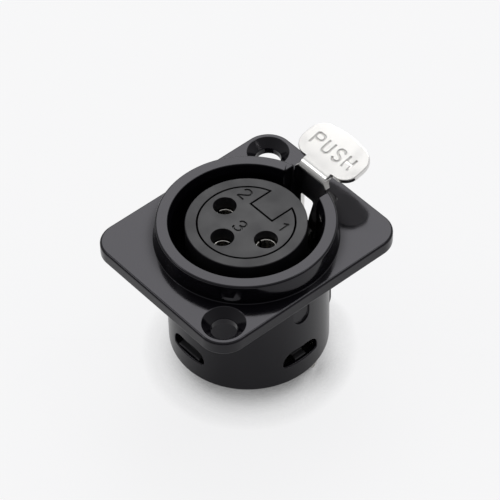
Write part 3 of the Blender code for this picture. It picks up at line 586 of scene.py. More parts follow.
def makeSteelFinish():
    sizes = steelFinish
    material, tree, shader = nodeTree("drawnSpringSteel", sizes["color"], 0.3, 1)
    clouds = addNoise(tree, sizes["clouds"], 3)
    varyRoughness(shader, clouds, sizes["roughness"])
    tint(shader, addRange(tree, clouds, 0.45, 0.75, 0, 0.7), sizes["color"], sizes["oxide"])
    addBump(shader, addNoise(tree, sizes["grain"], 2), sizes["relief"])
    return material


finishes = {
    "black_casting": makeCastingFinish(),
    "black_plastic": makePlasticFinish(),
    "nickel_plate": makeNickelFinish(),
    "silvered_brass": makeContactFinish(),
    "spring_steel": makeSteelFinish(),
}
print("finishes made")


# shell

contactPlaces = {
    "contact_1": (-2.25, 4.0),  # angle round the axis and radius of the circle
    "contact_2": (182.25, 4.0),
    "contact_3": (270.0, 4.0),
}

shellSizes = {
    "steps": 192,
    "mouth": 10.05,
    "bore": 9.65,
    "seat": 9.90,
    "barrel": 10.65,
    "collarTop": 11.65,
    "collarFoot": 11.95,
    "front": 4.78,
    "rear": -16.3,
    "seatHeight": -10.22,
    "flareDepth": 1.2,
    "flange": (26.0, 31.0),
    "face": 2.0,
    "flangeCorner": 3.5,
    "flangeEdge": 0.34,
    "edge": 0.07,
    "grooveEdge": 0.12,
    "windowEdge": 0.20,
    "ringEndEdge": 0.16,
}

slotSizes = {
    "halfWidth": 3.2,
    "near": 7.65,
    "far": 13.16,
    "foot": -14.67,
    "corner": 0.6,
    "ringEnd": 0.25,
    "mouth": (0.35, 0.04),  # rounding into the bore, and how far it dips past the bore's wall
}

cheekSizes = {
    "halfWidth": 4.15,
    "outer": 11.05,
    "inner": 9.60,
    "foot": -15.9,
    "taper": (1.5, 0.55),
    "edge": 0.25,
}

screwSizes = {
    "places": ((-9.5, 12.0), (9.5, -12.0)),
    "hole": 1.7,
    "mouth": 2.8,
    "depth": 1.1,
    "driverRadius": (3.53, 3.76),
    "driverHeights": (2.9, 4.05),
}

grooveSizes = {
    "half": 1.25,
    "foot": -6.0,
    "top": 0.5,
    "depth": 0.3,
}

windowSizes = {
    "angles": (0, 180, 270),
    "width": 5.7,
    "top": -10.62,
    "foot": -13.14,
    "topCorner": 1.9,
    "footCorner": 0.3,
}

pivotSizes = {
    "y": 10.05,
    "z": -13.27,
    "pin": 0.5,
    "bore": 0.56,
    "eye": 1.1,
    "pinHalf": 4.0,
    "pinChamfer": 0.1,
    "pinEdge": 0.03,
}


def shellRing():
    sizes = shellSizes
    mouth, bore, seat, barrel, seatHeight = take(sizes, "mouth bore seat barrel seatHeight")
    collarTop, collarFoot, front, rear = take(sizes, "collarTop collarFoot front rear")
    foot = collarFoot + 0.4
    under = sizes["face"] / 2
    footHeight = sizes["face"] - 0.02
    corners = [
        (mouth, front), (collarTop, front), (collarFoot, footHeight), (foot, footHeight),
        (foot, under), (barrel, under), (barrel, rear), (seat, rear),
        (seat, seatHeight), (bore, seatHeight), (bore, front - sizes["flareDepth"]),
    ]
    radii = [0.14, 0.3, 0.2, 0, 0, 0, 0.4, 0.12, 0, 0.08, 0.6]
    profile = roundedLine(corners, radii, steps=6)
    return turnedSolid("shellCasting", profile, sizes["steps"], closed=True)


def facing(angle, obj):
    return placed(obj, zAxis.cross(radial(angle)), zAxis)


def crossBar(name, radius, half, chamfer=0):
    profile = [(0, half), (radius, half)]
    if chamfer:
        profile[1:] = [(radius - chamfer, half), (radius, half - chamfer)]
    profile += [(x, -z) for x, z in reversed(profile)]
    bar = turnedSolid(name, profile, 48)
    return placed(bar, yAxis, zAxis, (0, pivotSizes["y"], pivotSizes["z"]))


def flangePlate():
    # Drawn ring by ring round its rounded edge, from the rear face to the front one
    (width, height), thickness, edge = take(shellSizes, "flange face flangeEdge")
    turns = [math.pi / 2 * step / 6 for step in range(7)]
    profile = [(edge * (1 - math.sin(turn)), edge * (1 - math.cos(turn))) for turn in turns]
    profile += [(inset, thickness - z) for inset, z in reversed(profile)]
    verts = []
    for inset, z in profile:
        halfX, halfY = width / 2 - inset, height / 2 - inset
        corners = rectangle(-halfX, -halfY, halfX, halfY)
        outline = roundedLine(corners, [shellSizes["flangeCorner"] - inset] * 4, steps=32)
        verts.extend([(x, y, z) for x, y in outline])
    count = len(outline)
    last = len(verts) - count
    faces = [tuple(reversed(range(count))), tuple(range(last, last + count))]
    for ring in range(0, last, count):
        for index in range(count):
            after = (index + 1) % count
            faces.append((ring + index, ring + after, ring + count + after, ring + count + index))
    plate = bpy.data.objects.new("flangePlate", drawnMesh("flangePlate", verts, faces))
    hole = circlePoints((shellSizes["bore"] + shellSizes["barrel"]) / 2, 96)
    cut(plate, raisedSolid("flangeBore", [hole], -1, thickness + 1))
    return plate


def cheekBlock():
    half, outer, inner, foot, edge = take(cheekSizes, "halfWidth outer inner foot edge")
    outline = roundedLine(rectangle(-half, inner, half, outer), [0, 0, edge, edge], steps=6)
    block = raisedSolid("cheekBlock", [outline], foot, shellSizes["face"] / 2)
    length, depth = cheekSizes["taper"]
    slope = depth / length
    wedgeLine = [
        (outer + slope, foot + length + 1),
        (outer - depth - slope, foot - 1),
        (outer + 1, foot - 1),
    ]
    wedge = raisedSolid("cheekTaper", [wedgeLine], -half - 1, half + 1)
    cut(block, placed(wedge, yAxis, zAxis))
    return block


def slotCutter():
    half, near, far, (easing, dip) = take(slotSizes, "halfWidth near far mouth")
    centreX = half + easing
    centreY = math.sqrt((shellSizes["bore"] + easing - dip) ** 2 - centreX**2)
    sweep = math.atan2(centreY, centreX)
    turns = [math.pi + sweep * (1 - step / 10) for step in range(11)]
    arc = arcPoints((centreX, centreY), easing, turns)
    right = [(half, near), *arc, (half, far)]
    radii = [0] * (len(right) - 1) + [slotSizes["corner"]]
    outline = roundedLine(bothSides(right), radii + radii[::-1])
    return raisedSolid("latchSlot", [outline], slotSizes["foot"], shellSizes["front"] + 1)


def ringGapCutter():
    half, turnIn = take(slotSizes, "halfWidth ringEnd")
    sideX = half + turnIn
    outerY = math.sqrt(shellSizes["collarTop"] ** 2 - sideX**2)
    before, after = (half, outerY - 2 * turnIn), (half + 2 * turnIn, outerY)
    arc = cornerArc(before, (half, outerY), after, turnIn, 8)
    outline = bothSides([*arc, (sideX, shellSizes["collarFoot"] + 1)])
    return raisedSolid("ringGap", [outline], shellSizes["face"], shellSizes["front"] + 1)


def windowCutter(angle):
    width, foot, top = take(windowSizes, "width foot top")
    radii = take(windowSizes, "footCorner footCorner topCorner topCorner")
    outline = roundedLine(rectangle(-width / 2, foot, width / 2, top), radii, steps=12)
    low, high = shellSizes["bore"] - 1, shellSizes["barrel"] + 1
    window = raisedSolid(f"window{angle}", [outline], low, high)
    return facing(angle, window)


def grooveCutter(angle):
    # Shallow upright groove with a round foot on each side of the barrel
    half, foot, top, depth = take(grooveSizes, "half foot top depth")
    turns = [math.pi * (1 + step / 16) for step in range(17)]
    outline = [(half, top), (-half, top), *arcPoints((0, foot + half), half, turns)]
    barrel = shellSizes["barrel"]
    groove = raisedSolid(f"groove{angle}", [outline], barrel - depth, barrel + 1)
    return facing(angle, groove)


def screwCutters(shell):
    sizes = screwSizes
    mouth, hole, depth = take(sizes, "mouth hole depth")
    face, above = shellSizes["face"], 0.25
    width = mouth + (mouth - hole) / depth * above
    profile = [(0, face + above), (width, face + above), (hole, face - depth), (hole, -1), (0, -1)]
    foot, head = sizes["driverHeights"]
    inner, outer = sizes["driverRadius"]
    relief = [(0, head), (outer, head), (inner, foot), (0, foot)]
    for number, (x, y) in enumerate(sizes["places"]):
        for name, line, steps in (("screwHole", profile, 72), ("driverRoom", relief, 96)):
            cutter = turnedSolid(f"{name}{number}", line, steps)
            cutter.location = (x, y, 0)
            cut(shell, cutter)


def shellEdgeWidth(point):
    # Finds the driver's room, the grooves, the windows and the ends of the collar by their place
    sizes = shellSizes
    radius = math.hypot(point.x, point.y)
    foot, head = screwSizes["driverHeights"]
    for x, y in screwSizes["places"]:
        if math.hypot(point.x - x, point.y - y) < 4 and foot - 0.1 < point.z < head + 0.1:
            return 0
    if -6.5 < point.z < -0.1 and radius > 10.2 and abs(point.y) < 2:
        return sizes["grooveEdge"]
    if -13.4 < point.z < -10.4 and radius > 10.4 and point.y < 4:
        return sizes["windowEdge"]
    if point.z > 4.4 and abs(point.x) < 4.5 and point.y > 8:
        return sizes["ringEndEdge"]
    return sizes["edge"]


def buildShell():
    shell = shellRing()
    for angle in (0, 180):
        cut(shell, grooveCutter(angle))
    join(shell, flangePlate())
    join(shell, cheekBlock())
    cut(shell, slotCutter())
    cut(shell, ringGapCutter())
    for angle in windowSizes["angles"]:
        cut(shell, windowCutter(angle))
    screwCutters(shell)
    cut(shell, crossBar("pinHole", pivotSizes["bore"], cheekSizes["halfWidth"] + 1))
    softenEdges(shell, shellSizes["edge"], widthAt=shellEdgeWidth)
    walls = take(shellSizes, "barrel bore seat")
    settle(shell, "socket", "shell", "black_casting", walls=walls)


buildShell()


# plastic insert

insertSizes = {
    "steps": 160,
    "core": 6.3,
    "sleeve": 7.875,
    "base": 9.75,
    "face": 4.40,
    "baseTop": -10.37,
    "rear": -12.07,
    "partingGap": 0.22,
    "tongue": (4.14, 3.74),
    "foot": (1.1, 0.9),
    "sleeveEdge": 0.15,
    "edge": 0.05,
    "hole": 1.52,
    "contactSeat": (1.97, 1.1),
    "legNotch": 9.65,
}

hookSizes = {
    "widths": {0: 1.8, 180: 1.8, 270: 4.0},
    "inner": 8.75,
    "outer": 9.45,
    "reach": 0.8,
    "catch": -12.80,
    "catchHeight": 0.28,
    "ramp": 0.16,
    "top": -12.42,
    "root": -14.02,
}

pocketSizes = {
    "inner": 8.45,  # the room behind each barrel window, where its hook stands
    "halfWidth": 3.0,
    "roof": -10.72,
    "floor": -13.40,
}

digitSizes = {
    "stroke": 0.15,
    "sunk": 0.05,  # how far the middle of a stroke lies below the face
    "rearStroke": 0.12,
    "rearSunk": 0.03,
}

digitLines = {
    "one": [
        [(3.42, 3.34), (3.62, 3.46), (3.82, 3.62), (3.96, 3.78)],
        [(3.96, 3.78), (3.98, 2.95), (4.0, 2.14)],
    ],
    "two": [
        [(-4.42, 3.58), (-4.33, 3.84), (-4.08, 4.02), (-3.74, 4.05), (-3.42, 3.92), (-3.28, 3.62),
         (-3.40, 3.30), (-3.78, 2.94), (-4.18, 2.62), (-4.44, 2.34)],
        [(-4.44, 2.34), (-3.84, 2.33), (-3.25, 2.33)],
    ],
    "three": [
        [(-0.55, -0.60), (-0.42, -0.30), (-0.08, -0.16), (0.30, -0.22), (0.50, -0.48),
         (0.44, -0.78), (0.14, -0.96), (-0.12, -1.0)],
        [(-0.12, -1.0), (0.20, -1.04), (0.52, -1.22), (0.58, -1.52), (0.36, -1.80),
         (-0.04, -1.90), (-0.44, -1.80), (-0.62, -1.52)],
    ],
}


def strokeCutters(name, lines, radius, height, smooth=True):
    for number, line in enumerate(lines):
        points = flowingLine(line) if smooth else line
        yield wireSolid(f"{name}{number}", [(x, y, height) for x, y in points], radius)


def windowPocket(name, angle, low, high):
    half = pocketSizes["halfWidth"]
    outer = insertSizes["base"] + 1
    pocket = boxSolid(name, (pocketSizes["inner"], -half, low), (outer, half, high))
    pocket.rotation_euler.z = math.radians(angle)
    return pocket


def buildSleeve():
    sizes = insertSizes
    core, outer, base, face, baseTop, rear = take(sizes, "core sleeve base face baseTop rear")
    gap = sizes["partingGap"] / 2
    bore = core + gap
    footReach, footHeight = sizes["foot"]
    footBore = bore + footReach
    footTop = rear + footHeight + gap
    corners = [
        (bore, face), (outer, face), (outer, baseTop), (base, baseTop),
        (base, rear), (footBore, rear), (footBore, footTop), (bore, footTop),
    ]
    radii = [0, sizes["sleeveEdge"], 0.1, 0.15, 0, 0, 0, 0]
    profile = roundedLine(corners, radii, steps=5)
    sleeve = turnedSolid("insertSleeve", profile, sizes["steps"], closed=True)
    width, reach = sizes["tongue"]
    half = width / 2 - gap
    low = (-half, core - reach + gap, footTop + 2 * gap)
    join(sleeve, boxSolid("tongue", low, (half, bore + 0.8, face)))
    below = rear - 1
    for angle in windowSizes["angles"]:
        cut(sleeve, windowPocket(f"basePocket{angle}", angle, below, pocketSizes["roof"]))
    half = slotSizes["halfWidth"]
    high = (half, base + 1, baseTop + 1)
    cut(sleeve, boxSolid("legNotch", (-half, sizes["legNotch"], below), high))
    softenEdges(sleeve, sizes["edge"])
    settle(sleeve, "socket", "insert_sleeve", "black_plastic", walls=(outer, base))


def coreOutline():
    core, parting, (width, reach) = take(insertSizes, "core partingGap tongue")
    gap = parting / 2
    radius = core - gap
    half = width / 2 + gap
    edge = math.asin(half / radius)
    turns = [math.pi / 2 + edge + (math.tau - 2 * edge) * step / 140 for step in range(141)]
    notch = core - reach - gap
    return arcPoints((0, 0), radius, turns) + [(half, notch), (-half, notch)]


def contactCentre(name):
    angle, radius = contactPlaces[name]
    return radial(angle) * radius


def buildCore():
    sizes = insertSizes
    holes = [circlePoints(sizes["hole"], 48, contactCentre(name)) for name in contactPlaces]
    rear, face = take(sizes, "rear face")
    core = raisedSolid("contactCore", [coreOutline(), *holes], rear, face)
    footReach, footHeight = sizes["foot"]
    footCircle = circlePoints(sizes["core"] + footReach - sizes["partingGap"] / 2, 96)
    join(core, raisedSolid("coreFoot", [footCircle, *holes], rear, rear + footHeight))
    seatRadius, seatHeight = sizes["contactSeat"]
    for name in contactPlaces:
        seat = [circlePoints(seatRadius, 48, contactCentre(name))]
        cut(core, raisedSolid(name + "Seat", seat, rear - 1, rear + seatHeight))
    softenEdges(core, sizes["edge"], segments=2, flats=True)
    height = face - digitSizes["sunk"]
    for word, lines in digitLines.items():
        for stroke in strokeCutters(word, lines, digitSizes["stroke"], height):
            cut(core, stroke)
    settle(core, "socket", "contact_core", "black_plastic", flats=True)


buildSleeve()
buildCore()


# contacts

contactSizes = {
    "steps": 64,
    "edge": 0.03,
    "outer": 1.42,
    "bore": 1.18,
    # The earth contact meets the plug first
    "rims": {"contact_1": 3.10, "contact_2": 2.45, "contact_3": 2.45},
    "boreDepth": 10.5,
    "collar": 1.87,
    "collarTop": -11.07,
    "slotWidth": 0.3,
    "slotDepth": 7.5,
    "cup": 1.4,
    "cupBore": 1.0,
    "cupEnd": -19.62,
    "cupDepth": 3.4,
    "mouth": (0.3, 2.7),
}


def buildContact(name):
    sizes = contactSizes
    rear = insertSizes["rear"]
    rim = sizes["rims"][name]
    outer, bore, collar, collarTop = take(sizes, "outer bore collar collarTop")
    cup, cupBore, cupEnd = take(sizes, "cup cupBore cupEnd")
    boreEnd = rim - sizes["boreDepth"]
    cupFloor = cupEnd + sizes["cupDepth"]
    corners = [
        (0, boreEnd), (bore, boreEnd), (bore, rim), (outer, rim),
        (outer, collarTop), (collar, collarTop), (collar, rear), (cup, rear),
        (cup, cupEnd), (cupBore, cupEnd), (cupBore, cupFloor), (0, cupFloor + 0.5),
    ]
    radii = [0, 0, 0.10, 0.08, 0.1, 0.12, 0.1, 0, 0.14, 0.1, 0, 0]
    profile = roundedLine(corners, radii, closed=False, steps=4)
    contact = turnedSolid(name.replace("_", ""), profile, sizes["steps"])
    angle = contactPlaces[name][0]
    seat = Matrix.Translation(contactCentre(name)) @ Matrix.Rotation(math.radians(angle), 4, "Z")
    half, reach = sizes["slotWidth"] / 2, outer + 1
    low = (-reach, -half, rim - sizes["slotDepth"])
    cut(contact, boxSolid(name + "Slot", low, (reach, half, rim + 1)))
    offset, height = sizes["mouth"]
    high = (reach, reach, cupEnd + height)
    cut(contact, boxSolid(name + "Mouth", (offset, -reach, cupEnd - 1), high))
    softenEdges(contact, sizes["edge"], segments=2, angle=50)
    contact.matrix_world = seat
    settle(contact, "socket", name, "silvered_brass")


for contactName in contactPlaces:
    buildContact(contactName)


# rear insulator and ground lug

plateSizes = {
    "steps": 144,
    "softEdge": 0.06,
    "top": -12.22,
    "rear": -15.32,
    "radius": 9.75,
    "edge": 0.3,
    "cupHole": 1.5,
    "eyeNotch": 8.65,
}

lugSizes = {
    "angle": 24,
    "width": 2.0,
    "thickness": 0.4,
    "outer": 9.55,
    "top": -12.37,
    "foot": 2.3,
    "bend": 0.6,
    "tail": -19.1,
    "eye": 0.5,
    "clearance": 0.15,
    "softEdge": 0.05,
}

rearDigits = {
    "one": ((3.8, 2.96), (4.0, 3.0)),  # the digit's middle on the face, and its place on the rear
    "two": ((-3.85, 3.19), (-4.0, 3.0)),
    "three": ((0.0, -1.03), (0.0, -1.0)),
}


def snapHook(angle):
    sizes = hookSizes
    inner, outer, catch, top, root = take(sizes, "inner outer catch top root")
    tip, under = outer + sizes["reach"], catch - sizes["catchHeight"]
    corners = [
        (inner, root), (outer, root), (outer, under), (tip, under),
        (tip, catch), (outer, catch + sizes["ramp"]), (outer, top), (inner, top),
    ]
    outline = roundedLine(corners, [0, 0, 0, 0.06, 0.10, 0.15, 0.12, 0.12], steps=3)
    half = sizes["widths"][angle] / 2
    hook = raisedSolid(f"snapHook{angle}", [outline], -half, half)
    return placed(hook, radial(angle), zAxis)


def buildRearPlate():
    sizes = plateSizes
    top, rear, radius = take(sizes, "top rear radius")
    corners = [(0, top), (radius, top), (radius, rear), (0, rear)]
    profile = roundedLine(corners, [0, 0.08, sizes["edge"], 0], closed=False, steps=5)
    plate = turnedSolid("rearInsulator", profile, sizes["steps"])
    low, high = rear - 1, top + 1
    for angle in windowSizes["angles"]:
        cut(plate, windowPocket(f"platePocket{angle}", angle, pocketSizes["floor"], high))
        join(plate, snapHook(angle))
    for name in contactPlaces:
        hole = circlePoints(sizes["cupHole"], 48, contactCentre(name))
        cut(plate, raisedSolid(name + "Hole", [hole], low, high))
    half = slotSizes["halfWidth"]
    cut(plate, boxSolid("eyeNotch", (-half, sizes["eyeNotch"], low), (half, radius + 1, high)))
    lugTop, outer, thick, clear = take(lugSizes, "top outer thickness clearance")
    half = lugSizes["width"] / 2 + clear
    tailInner = outer - thick - clear
    footInner = outer - lugSizes["foot"] - clear
    footLow = lugTop - thick - clear
    for name, inner, foot in (("lugSlot", tailInner, low), ("lugSeat", footInner, footLow)):
        seat = boxSolid(name, (inner, -half, foot), (radius + 1, half, high))
        seat.rotation_euler.z = math.radians(lugSizes["angle"])
        cut(plate, seat)
    softenEdges(plate, sizes["softEdge"], segments=2, flats=True)
    height = rear + digitSizes["rearSunk"]
    for word, ((middleX, middleY), (x, y)) in rearDigits.items():
        # Mirrored, because the rear is read from behind
        lines = []
        for line in digitLines[word]:
            lines.append([(x - (px - middleX), y + (py - middleY)) for px, py in line])
        for stroke in strokeCutters(word + "Rear", lines, digitSizes["rearStroke"], height):
            cut(plate, stroke)
    settle(plate, "socket", "rear_plate", "black_plastic", flats=True)


def buildGroundLug():
    angle, width, outer, top, foot, tail = take(lugSizes, "angle width outer top foot tail")
    inner, half = outer - foot, width / 2
    path = [(inner, top), (outer, top), (outer, tail - 1)]
    section = sheetSection(path, [0, lugSizes["bend"], 0], lugSizes["thickness"], 8)
    lug = placed(raisedSolid("groundLug", [section], -2, 2), radial(angle), zAxis)
    turns = [math.pi * step / 16 for step in range(17)]
    outline = []
    for side, middle in ((1, top + width - half), (-1, tail + half)):
        outline += arcPoints((0, middle), side * half, turns)
    eye = circlePoints(lugSizes["eye"], 32, (0, tail + half))
    blank = raisedSolid("lugBlank", [outline, eye], inner - 1, outer + 1)
    combine(lug, facing(angle, blank), "INTERSECT")
    softenEdges(lug, lugSizes["softEdge"], segments=2)
    settle(lug, "socket", "ground_lug", "silvered_brass")


buildRearPlate()
buildGroundLug()


# latch lever, its pin and its spring

leverSizes = {
    "halfWidth": 3.0,
    "thickness": 0.75,
    "inner": 9.9,
    "leanStart": -1.0,
    "lean": 9.5,
    "elbowHeight": 6.12,
    "kneeRadius": 4.0,
    "elbowRadius": 1.4,
    "shoulder": 5.03,
    "neckHeight": 5.78,
    "neckHalf": 2.4,
    "neckLength": 1.34,
    "tilt": 14,
    "tabHalf": 5.2,
    "tabSide": 5.3,
    "crown": 0.7,
    "crownRadius": 10.0,
    "innerCorner": 2.1,
    "outerCorner": 2.5,
    "window": (1.2, -2.65, 1.75, 0.3, 0.55),  # half width, foot, top, corner, half width below
    "nose": (1.5, -2.95, 1.7, 0.8, 0.9),  # half width, top, height, flat, reach
    "eyeHalf": 2.9,
    "bay": (1.2, 0.3),
    "edge": 0.11,
}

letterSizes = {
    "stroke": 0.20,
    "raised": 0.085,  # the middle of a stroke lies this far above the tab
    "foot": 3.06,
    "head": 5.00,
}


def leverElbow():
    inner, start, lean, height = take(leverSizes, "inner leanStart lean elbowHeight")
    return Vector((inner + (height - start) * math.tan(math.radians(lean)), height))


def onTab(obj):
    elbow = leverElbow()
    tilt = math.radians(leverSizes["tilt"])
    return placed(obj, xAxis, Vector((0, math.cos(tilt), math.sin(tilt))), (0, elbow.x, elbow.y))


def leverSheet():
    sizes = leverSizes
    elbow = leverElbow()
    tilt = math.radians(sizes["tilt"])
    length = sum(take(sizes, "neckLength tabSide crown")) + 1
    tip = elbow + Vector((math.cos(tilt), math.sin(tilt))) * length
    inner, start = take(sizes, "inner leanStart")
    path = [(inner, pivotSizes["z"]), (inner, start), elbow, tip]
    radii = [0, sizes["kneeRadius"], sizes["elbowRadius"], 0]
    section = sheetSection(path, radii, sizes["thickness"], 14)
    return placed(raisedSolid("latchLever", [section], -8, 8), yAxis, zAxis)


def leverBlank():
    sizes = leverSizes
    half, near, length, crown = take(sizes, "tabHalf neckLength tabSide crown")
    side = near + length
    corners = [(-half, near), (half, near), (half, side), (0, side + crown), (-half, side)]
    radii = take(sizes, "innerCorner innerCorner outerCorner crownRadius outerCorner")
    blank = onTab(raisedSolid("tabBlank", [roundedLine(corners, radii, steps=14)], -2, 1))
    leg, neck = take(sizes, "halfWidth neckHalf")
    right = [
        (leg, pivotSizes["z"] - 1),
        (leg, sizes["shoulder"]),
        (neck, sizes["neckHeight"]),
        (neck, sizes["elbowHeight"] + 1),
    ]
    outline = bothSides(roundedLine(right, [0, 0.25, 0.3, 0], closed=False, steps=5))
    length = near + sizes["innerCorner"] / 2
    farY = leverElbow().x + length * math.cos(math.radians(sizes["tilt"]))
    legBlank = raisedSolid("legBlank", [outline], -farY, 1 - sizes["inner"])
    join(blank, placed(legBlank, xAxis, zAxis))
    return blank


def letterLines():
    foot, head = take(letterSizes, "foot head")
    middle = (foot + head) / 2
    bowl = [(-3.58, head), (-2.32, head), (-2.32, middle), (-3.60, middle)]
    cup = [(-1.52, head), (-1.52, foot), (-0.42, foot), (-0.42, head)]
    bend = [(1.60, 4.66), (1.40, 4.94), (1.02, head), (0.66, 4.92), (0.48, 4.62), (0.56, 4.30),
            (0.88, 4.10), (1.22, 3.98), (1.54, 3.78), (1.62, 3.46), (1.42, 3.16), (1.02, foot),
            (0.66, 3.12), (0.46, 3.40)]
    return [
        [(-3.66, foot), (-3.66, head)],
        roundedLine(bowl, [0, 0.44, 0.44, 0], closed=False, steps=6),
        roundedLine(cup, [0, 0.5, 0.5, 0], closed=False, steps=6),
        flowingLine(bend, 4),
        [(2.42, foot), (2.42, head)],
        [(3.50, foot), (3.50, head)],
        [(2.42, middle), (3.50, middle)],
    ]


def buildLever():
    sizes = leverSizes
    lever = leverSheet()
    combine(lever, leverBlank(), "INTERSECT")
    join(lever, crossBar("eye", pivotSizes["eye"], sizes["eyeHalf"]))
    half, top, height, flat, reach = sizes["nose"]
    inner, foot = sizes["inner"], top - height
    root, tip = inner + sizes["thickness"] / 2, inner - reach
    outline = [(root, foot), (root, top), (inner, top), (tip, foot + flat), (tip, foot)]
    join(lever, placed(raisedSolid("nose", [outline], -half, half), yAxis, zAxis))
    halfX, low, high, corner, footX = sizes["window"]
    corners = [(-footX, low), (footX, low), (halfX, high), (-halfX, high)]
    outline = roundedLine(corners, [corner] * 4, steps=6)
    cut(lever, placed(raisedSolid("legWindow", [outline], -12, 1 - inner), xAxis, zAxis))
    bayHalf, bayRise = sizes["bay"]
    y, z, eye = take(pivotSizes, "y z eye")
    low, high = (-bayHalf, y - eye - 1, z - eye - 1), (bayHalf, y + eye + 1, z + eye + bayRise)
    cut(lever, boxSolid("springBay", low, high))
    cut(lever, crossBar("eyeBore", pivotSizes["bore"], sizes["eyeHalf"] + 1))
    softenEdges(lever, sizes["edge"], angle=50)
    stroke, raised = take(letterSizes, "stroke raised")
    for cutter in strokeCutters("letter", letterLines(), stroke, raised, smooth=False):
        cut(lever, onTab(cutter))
    settle(lever, "lever", "latch_lever", "nickel_plate")


springSizes = {
    "wire": 0.175,
    "clearance": 0.12,
    "turns": 4,
    "pitch": 0.44,
    "perTurn": 36,
    "leg": 4.6,
    "restGap": 0.3,
}


def buildPinAndSpring():
    y, z, pinRadius, half, chamfer, eye = take(pivotSizes, "y z pin pinHalf pinChamfer eye")
    pin = crossBar("pivotPin", pinRadius, half, chamfer)
    softenEdges(pin, pivotSizes["pinEdge"], segments=2)
    settle(pin, "socket", "pivot_pin", "spring_steel")
    sizes = springSizes
    wire, clear = take(sizes, "wire clearance")
    coil = pinRadius + clear + wire
    halfWidth = sizes["turns"] * sizes["pitch"] / 2
    restY = y - eye - sizes["restGap"] + clear
    backY = leverSizes["inner"] + leverSizes["thickness"] + wire + clear
    bayTop = z + eye + leverSizes["bay"][1]
    points = [(-halfWidth, restY, z - coil)]
    count = int((sizes["turns"] + 0.25) * sizes["perTurn"])
    for step in range(count + 1):
        turn = math.tau * step / sizes["perTurn"] - math.pi / 2
        x = halfWidth * (2 * step / count - 1)
        points.append((x, y + coil * math.cos(turn), z + coil * math.sin(turn)))
    points += [(halfWidth, backY, bayTop - wire), (halfWidth, backY, z + sizes["leg"])]
    spring = wireSolid("latchSpring", points, wire, 4)
    settle(spring, None, "latch_spring", "spring_steel", 40)
    # The first leg rests on the socket and the last one on the lever
    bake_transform(spring)


buildLever()
buildPinAndSpring()


# floor, light and camera

stageSizes = {
    "floorHeight": -0.0197,
    "floorReach": 3.0,
    "floorColor": (0.93, 0.93, 0.935),
    "sheet": (0.965, 0.965, 0.972),  # what the camera sees of the sweep where nothing shades it
    "evenness": 0.86,
    "nearShade": (5.4, 0.10),  # reach of the shade at the foot, and what stays of the light there
    "skyLevels": (0.18, 0.66),  # brightness at the horizon and overhead
    "skyLean": (-0.46, 0.38, 0.0),  # the studio is brighter on this side
}

lampSizes = {
    "softBox": {"place": (-0.50, 0.50, 0.67), "size": 0.62, "radiance": 2.2},
    "leftStrip": {"place": (-0.52, -0.42, 0.74), "size": 0.22, "radiance": 2.6},
    "backStrip": {"place": (0.20, 0.44, 0.87), "size": 0.22, "radiance": 2.6},
}

cameraSizes = {
    "turn": 50.063,
    "height": 46.857,
    "roll": -1.486,
    "distance": 353.09,
    "focus": (0.448, -1.936),
    "lens": 2758.6 * 36 / 500,
}


def makeFloor():
    reach, height = stageSizes["floorReach"], stageSizes["floorHeight"]
    verts = [(x, y, height) for x, y in rectangle(-reach, -reach, reach, reach)]
    mesh = drawnMesh("studioFloor", verts, [(0, 1, 2, 3)])
    floor = bpy.data.objects.new("studioFloor", mesh)
    show(floor)
    material, tree, shader = nodeTree("paleSweep", stageSizes["floorColor"], 0.9, 0)
    fill(shader.inputs["Specular IOR Level"], 0)
    # The camera sees an evenly lit sheet, with the object's shadow on it
    shadeReach, shadeLeft = stageSizes["nearShade"]
    shade = addRange(tree, addCloseness(tree, shadeReach), 0.5, 0.97, shadeLeft, 1)
    seen = addMix(tree, shade, (0, 0, 0), stageSizes["sheet"])
    even = addNode(tree, "Emission", {"Color": seen}).outputs[0]
    lit = addNode(tree, "BsdfDiffuse", {"Color": seen}).outputs[0]
    sheet = addNode(tree, "MixShader", {0: stageSizes["evenness"], 1: lit, 2: even}).outputs[0]
    ray = addNode(tree, "LightPath").outputs["Is Camera Ray"]
    choice = addNode(tree, "MixShader", {0: ray, 1: shader.outputs[0], 2: sheet}).outputs[0]
    fill(tree.nodes["Material Output"].inputs["Surface"], choice)
    mesh.materials.append(material)


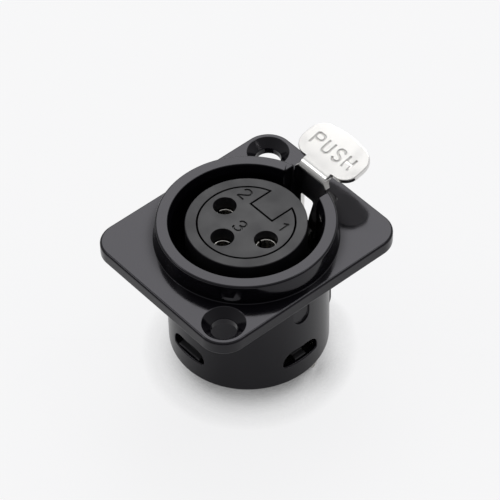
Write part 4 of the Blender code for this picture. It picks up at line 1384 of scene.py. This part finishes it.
def makeSky():
    world = bpy.data.worlds.new("softStudio")
    bpy.context.scene.world = world
    world.use_nodes = True
    tree = world.node_tree
    back = tree.nodes["Background"]
    fill(back.inputs["Color"], (1, 1, 1))
    place = addNode(tree, "TexCoord").outputs["Generated"]
    rise = addNode(tree, "SeparateXYZ", {"Vector": place}).outputs["Z"]
    values = {0: place, 1: stageSizes["skyLean"]}
    lean = addNode(tree, "VectorMath", values, operation="DOT_PRODUCT").outputs["Value"]
    level = addRange(tree, rise, 0, 1, *stageSizes["skyLevels"])
    level = addMath(tree, "MULTIPLY", level, addMath(tree, "ADD", lean, 1.0))
    fill(back.inputs["Strength"], level)


def makeLamps():
    for name, sizes in lampSizes.items():
        data = bpy.data.lights.new(name, "AREA")
        data.shape = "SQUARE"
        data.size = sizes["size"]
        data.energy = sizes["radiance"] * math.pi * sizes["size"] ** 2
        lamp = bpy.data.objects.new(name, data)
        lamp.location = sizes["place"]
        lamp.rotation_euler = (-Vector(sizes["place"])).to_track_quat("-Z", "Y").to_euler()
        show(lamp)


def makeCamera():
    sizes = cameraSizes
    turn, height, roll = map(math.radians, take(sizes, "turn height roll"))
    level = math.cos(height)
    back = Vector((math.sin(turn) * level, -math.cos(turn) * level, math.sin(height)))
    across = Vector((math.cos(turn), math.sin(turn), 0))
    upward = back.cross(across)
    right = math.cos(roll) * across + math.sin(roll) * upward
    up = math.cos(roll) * upward - math.sin(roll) * across
    x, y = sizes["focus"]
    place = (sizes["distance"] * back + x * right + y * up + Vector((0, 0, 2))) * toMetres
    data = bpy.data.cameras.new("photoCamera")
    data.sensor_width = 36
    data.lens = sizes["lens"]
    data.clip_start = 0.01
    camera = bpy.data.objects.new("photoCamera", data)
    turned = Matrix((right, up, back)).transposed().to_4x4()
    camera.matrix_world = Matrix.Translation(place) @ turned
    show(camera)
    bpy.context.scene.camera = camera


makeFloor()
makeSky()
makeLamps()
makeCamera()
bpy.data.collections.remove(cutterCollection)
bpy.context.scene.view_settings.view_transform = "Standard"
print("stage, light and camera set")
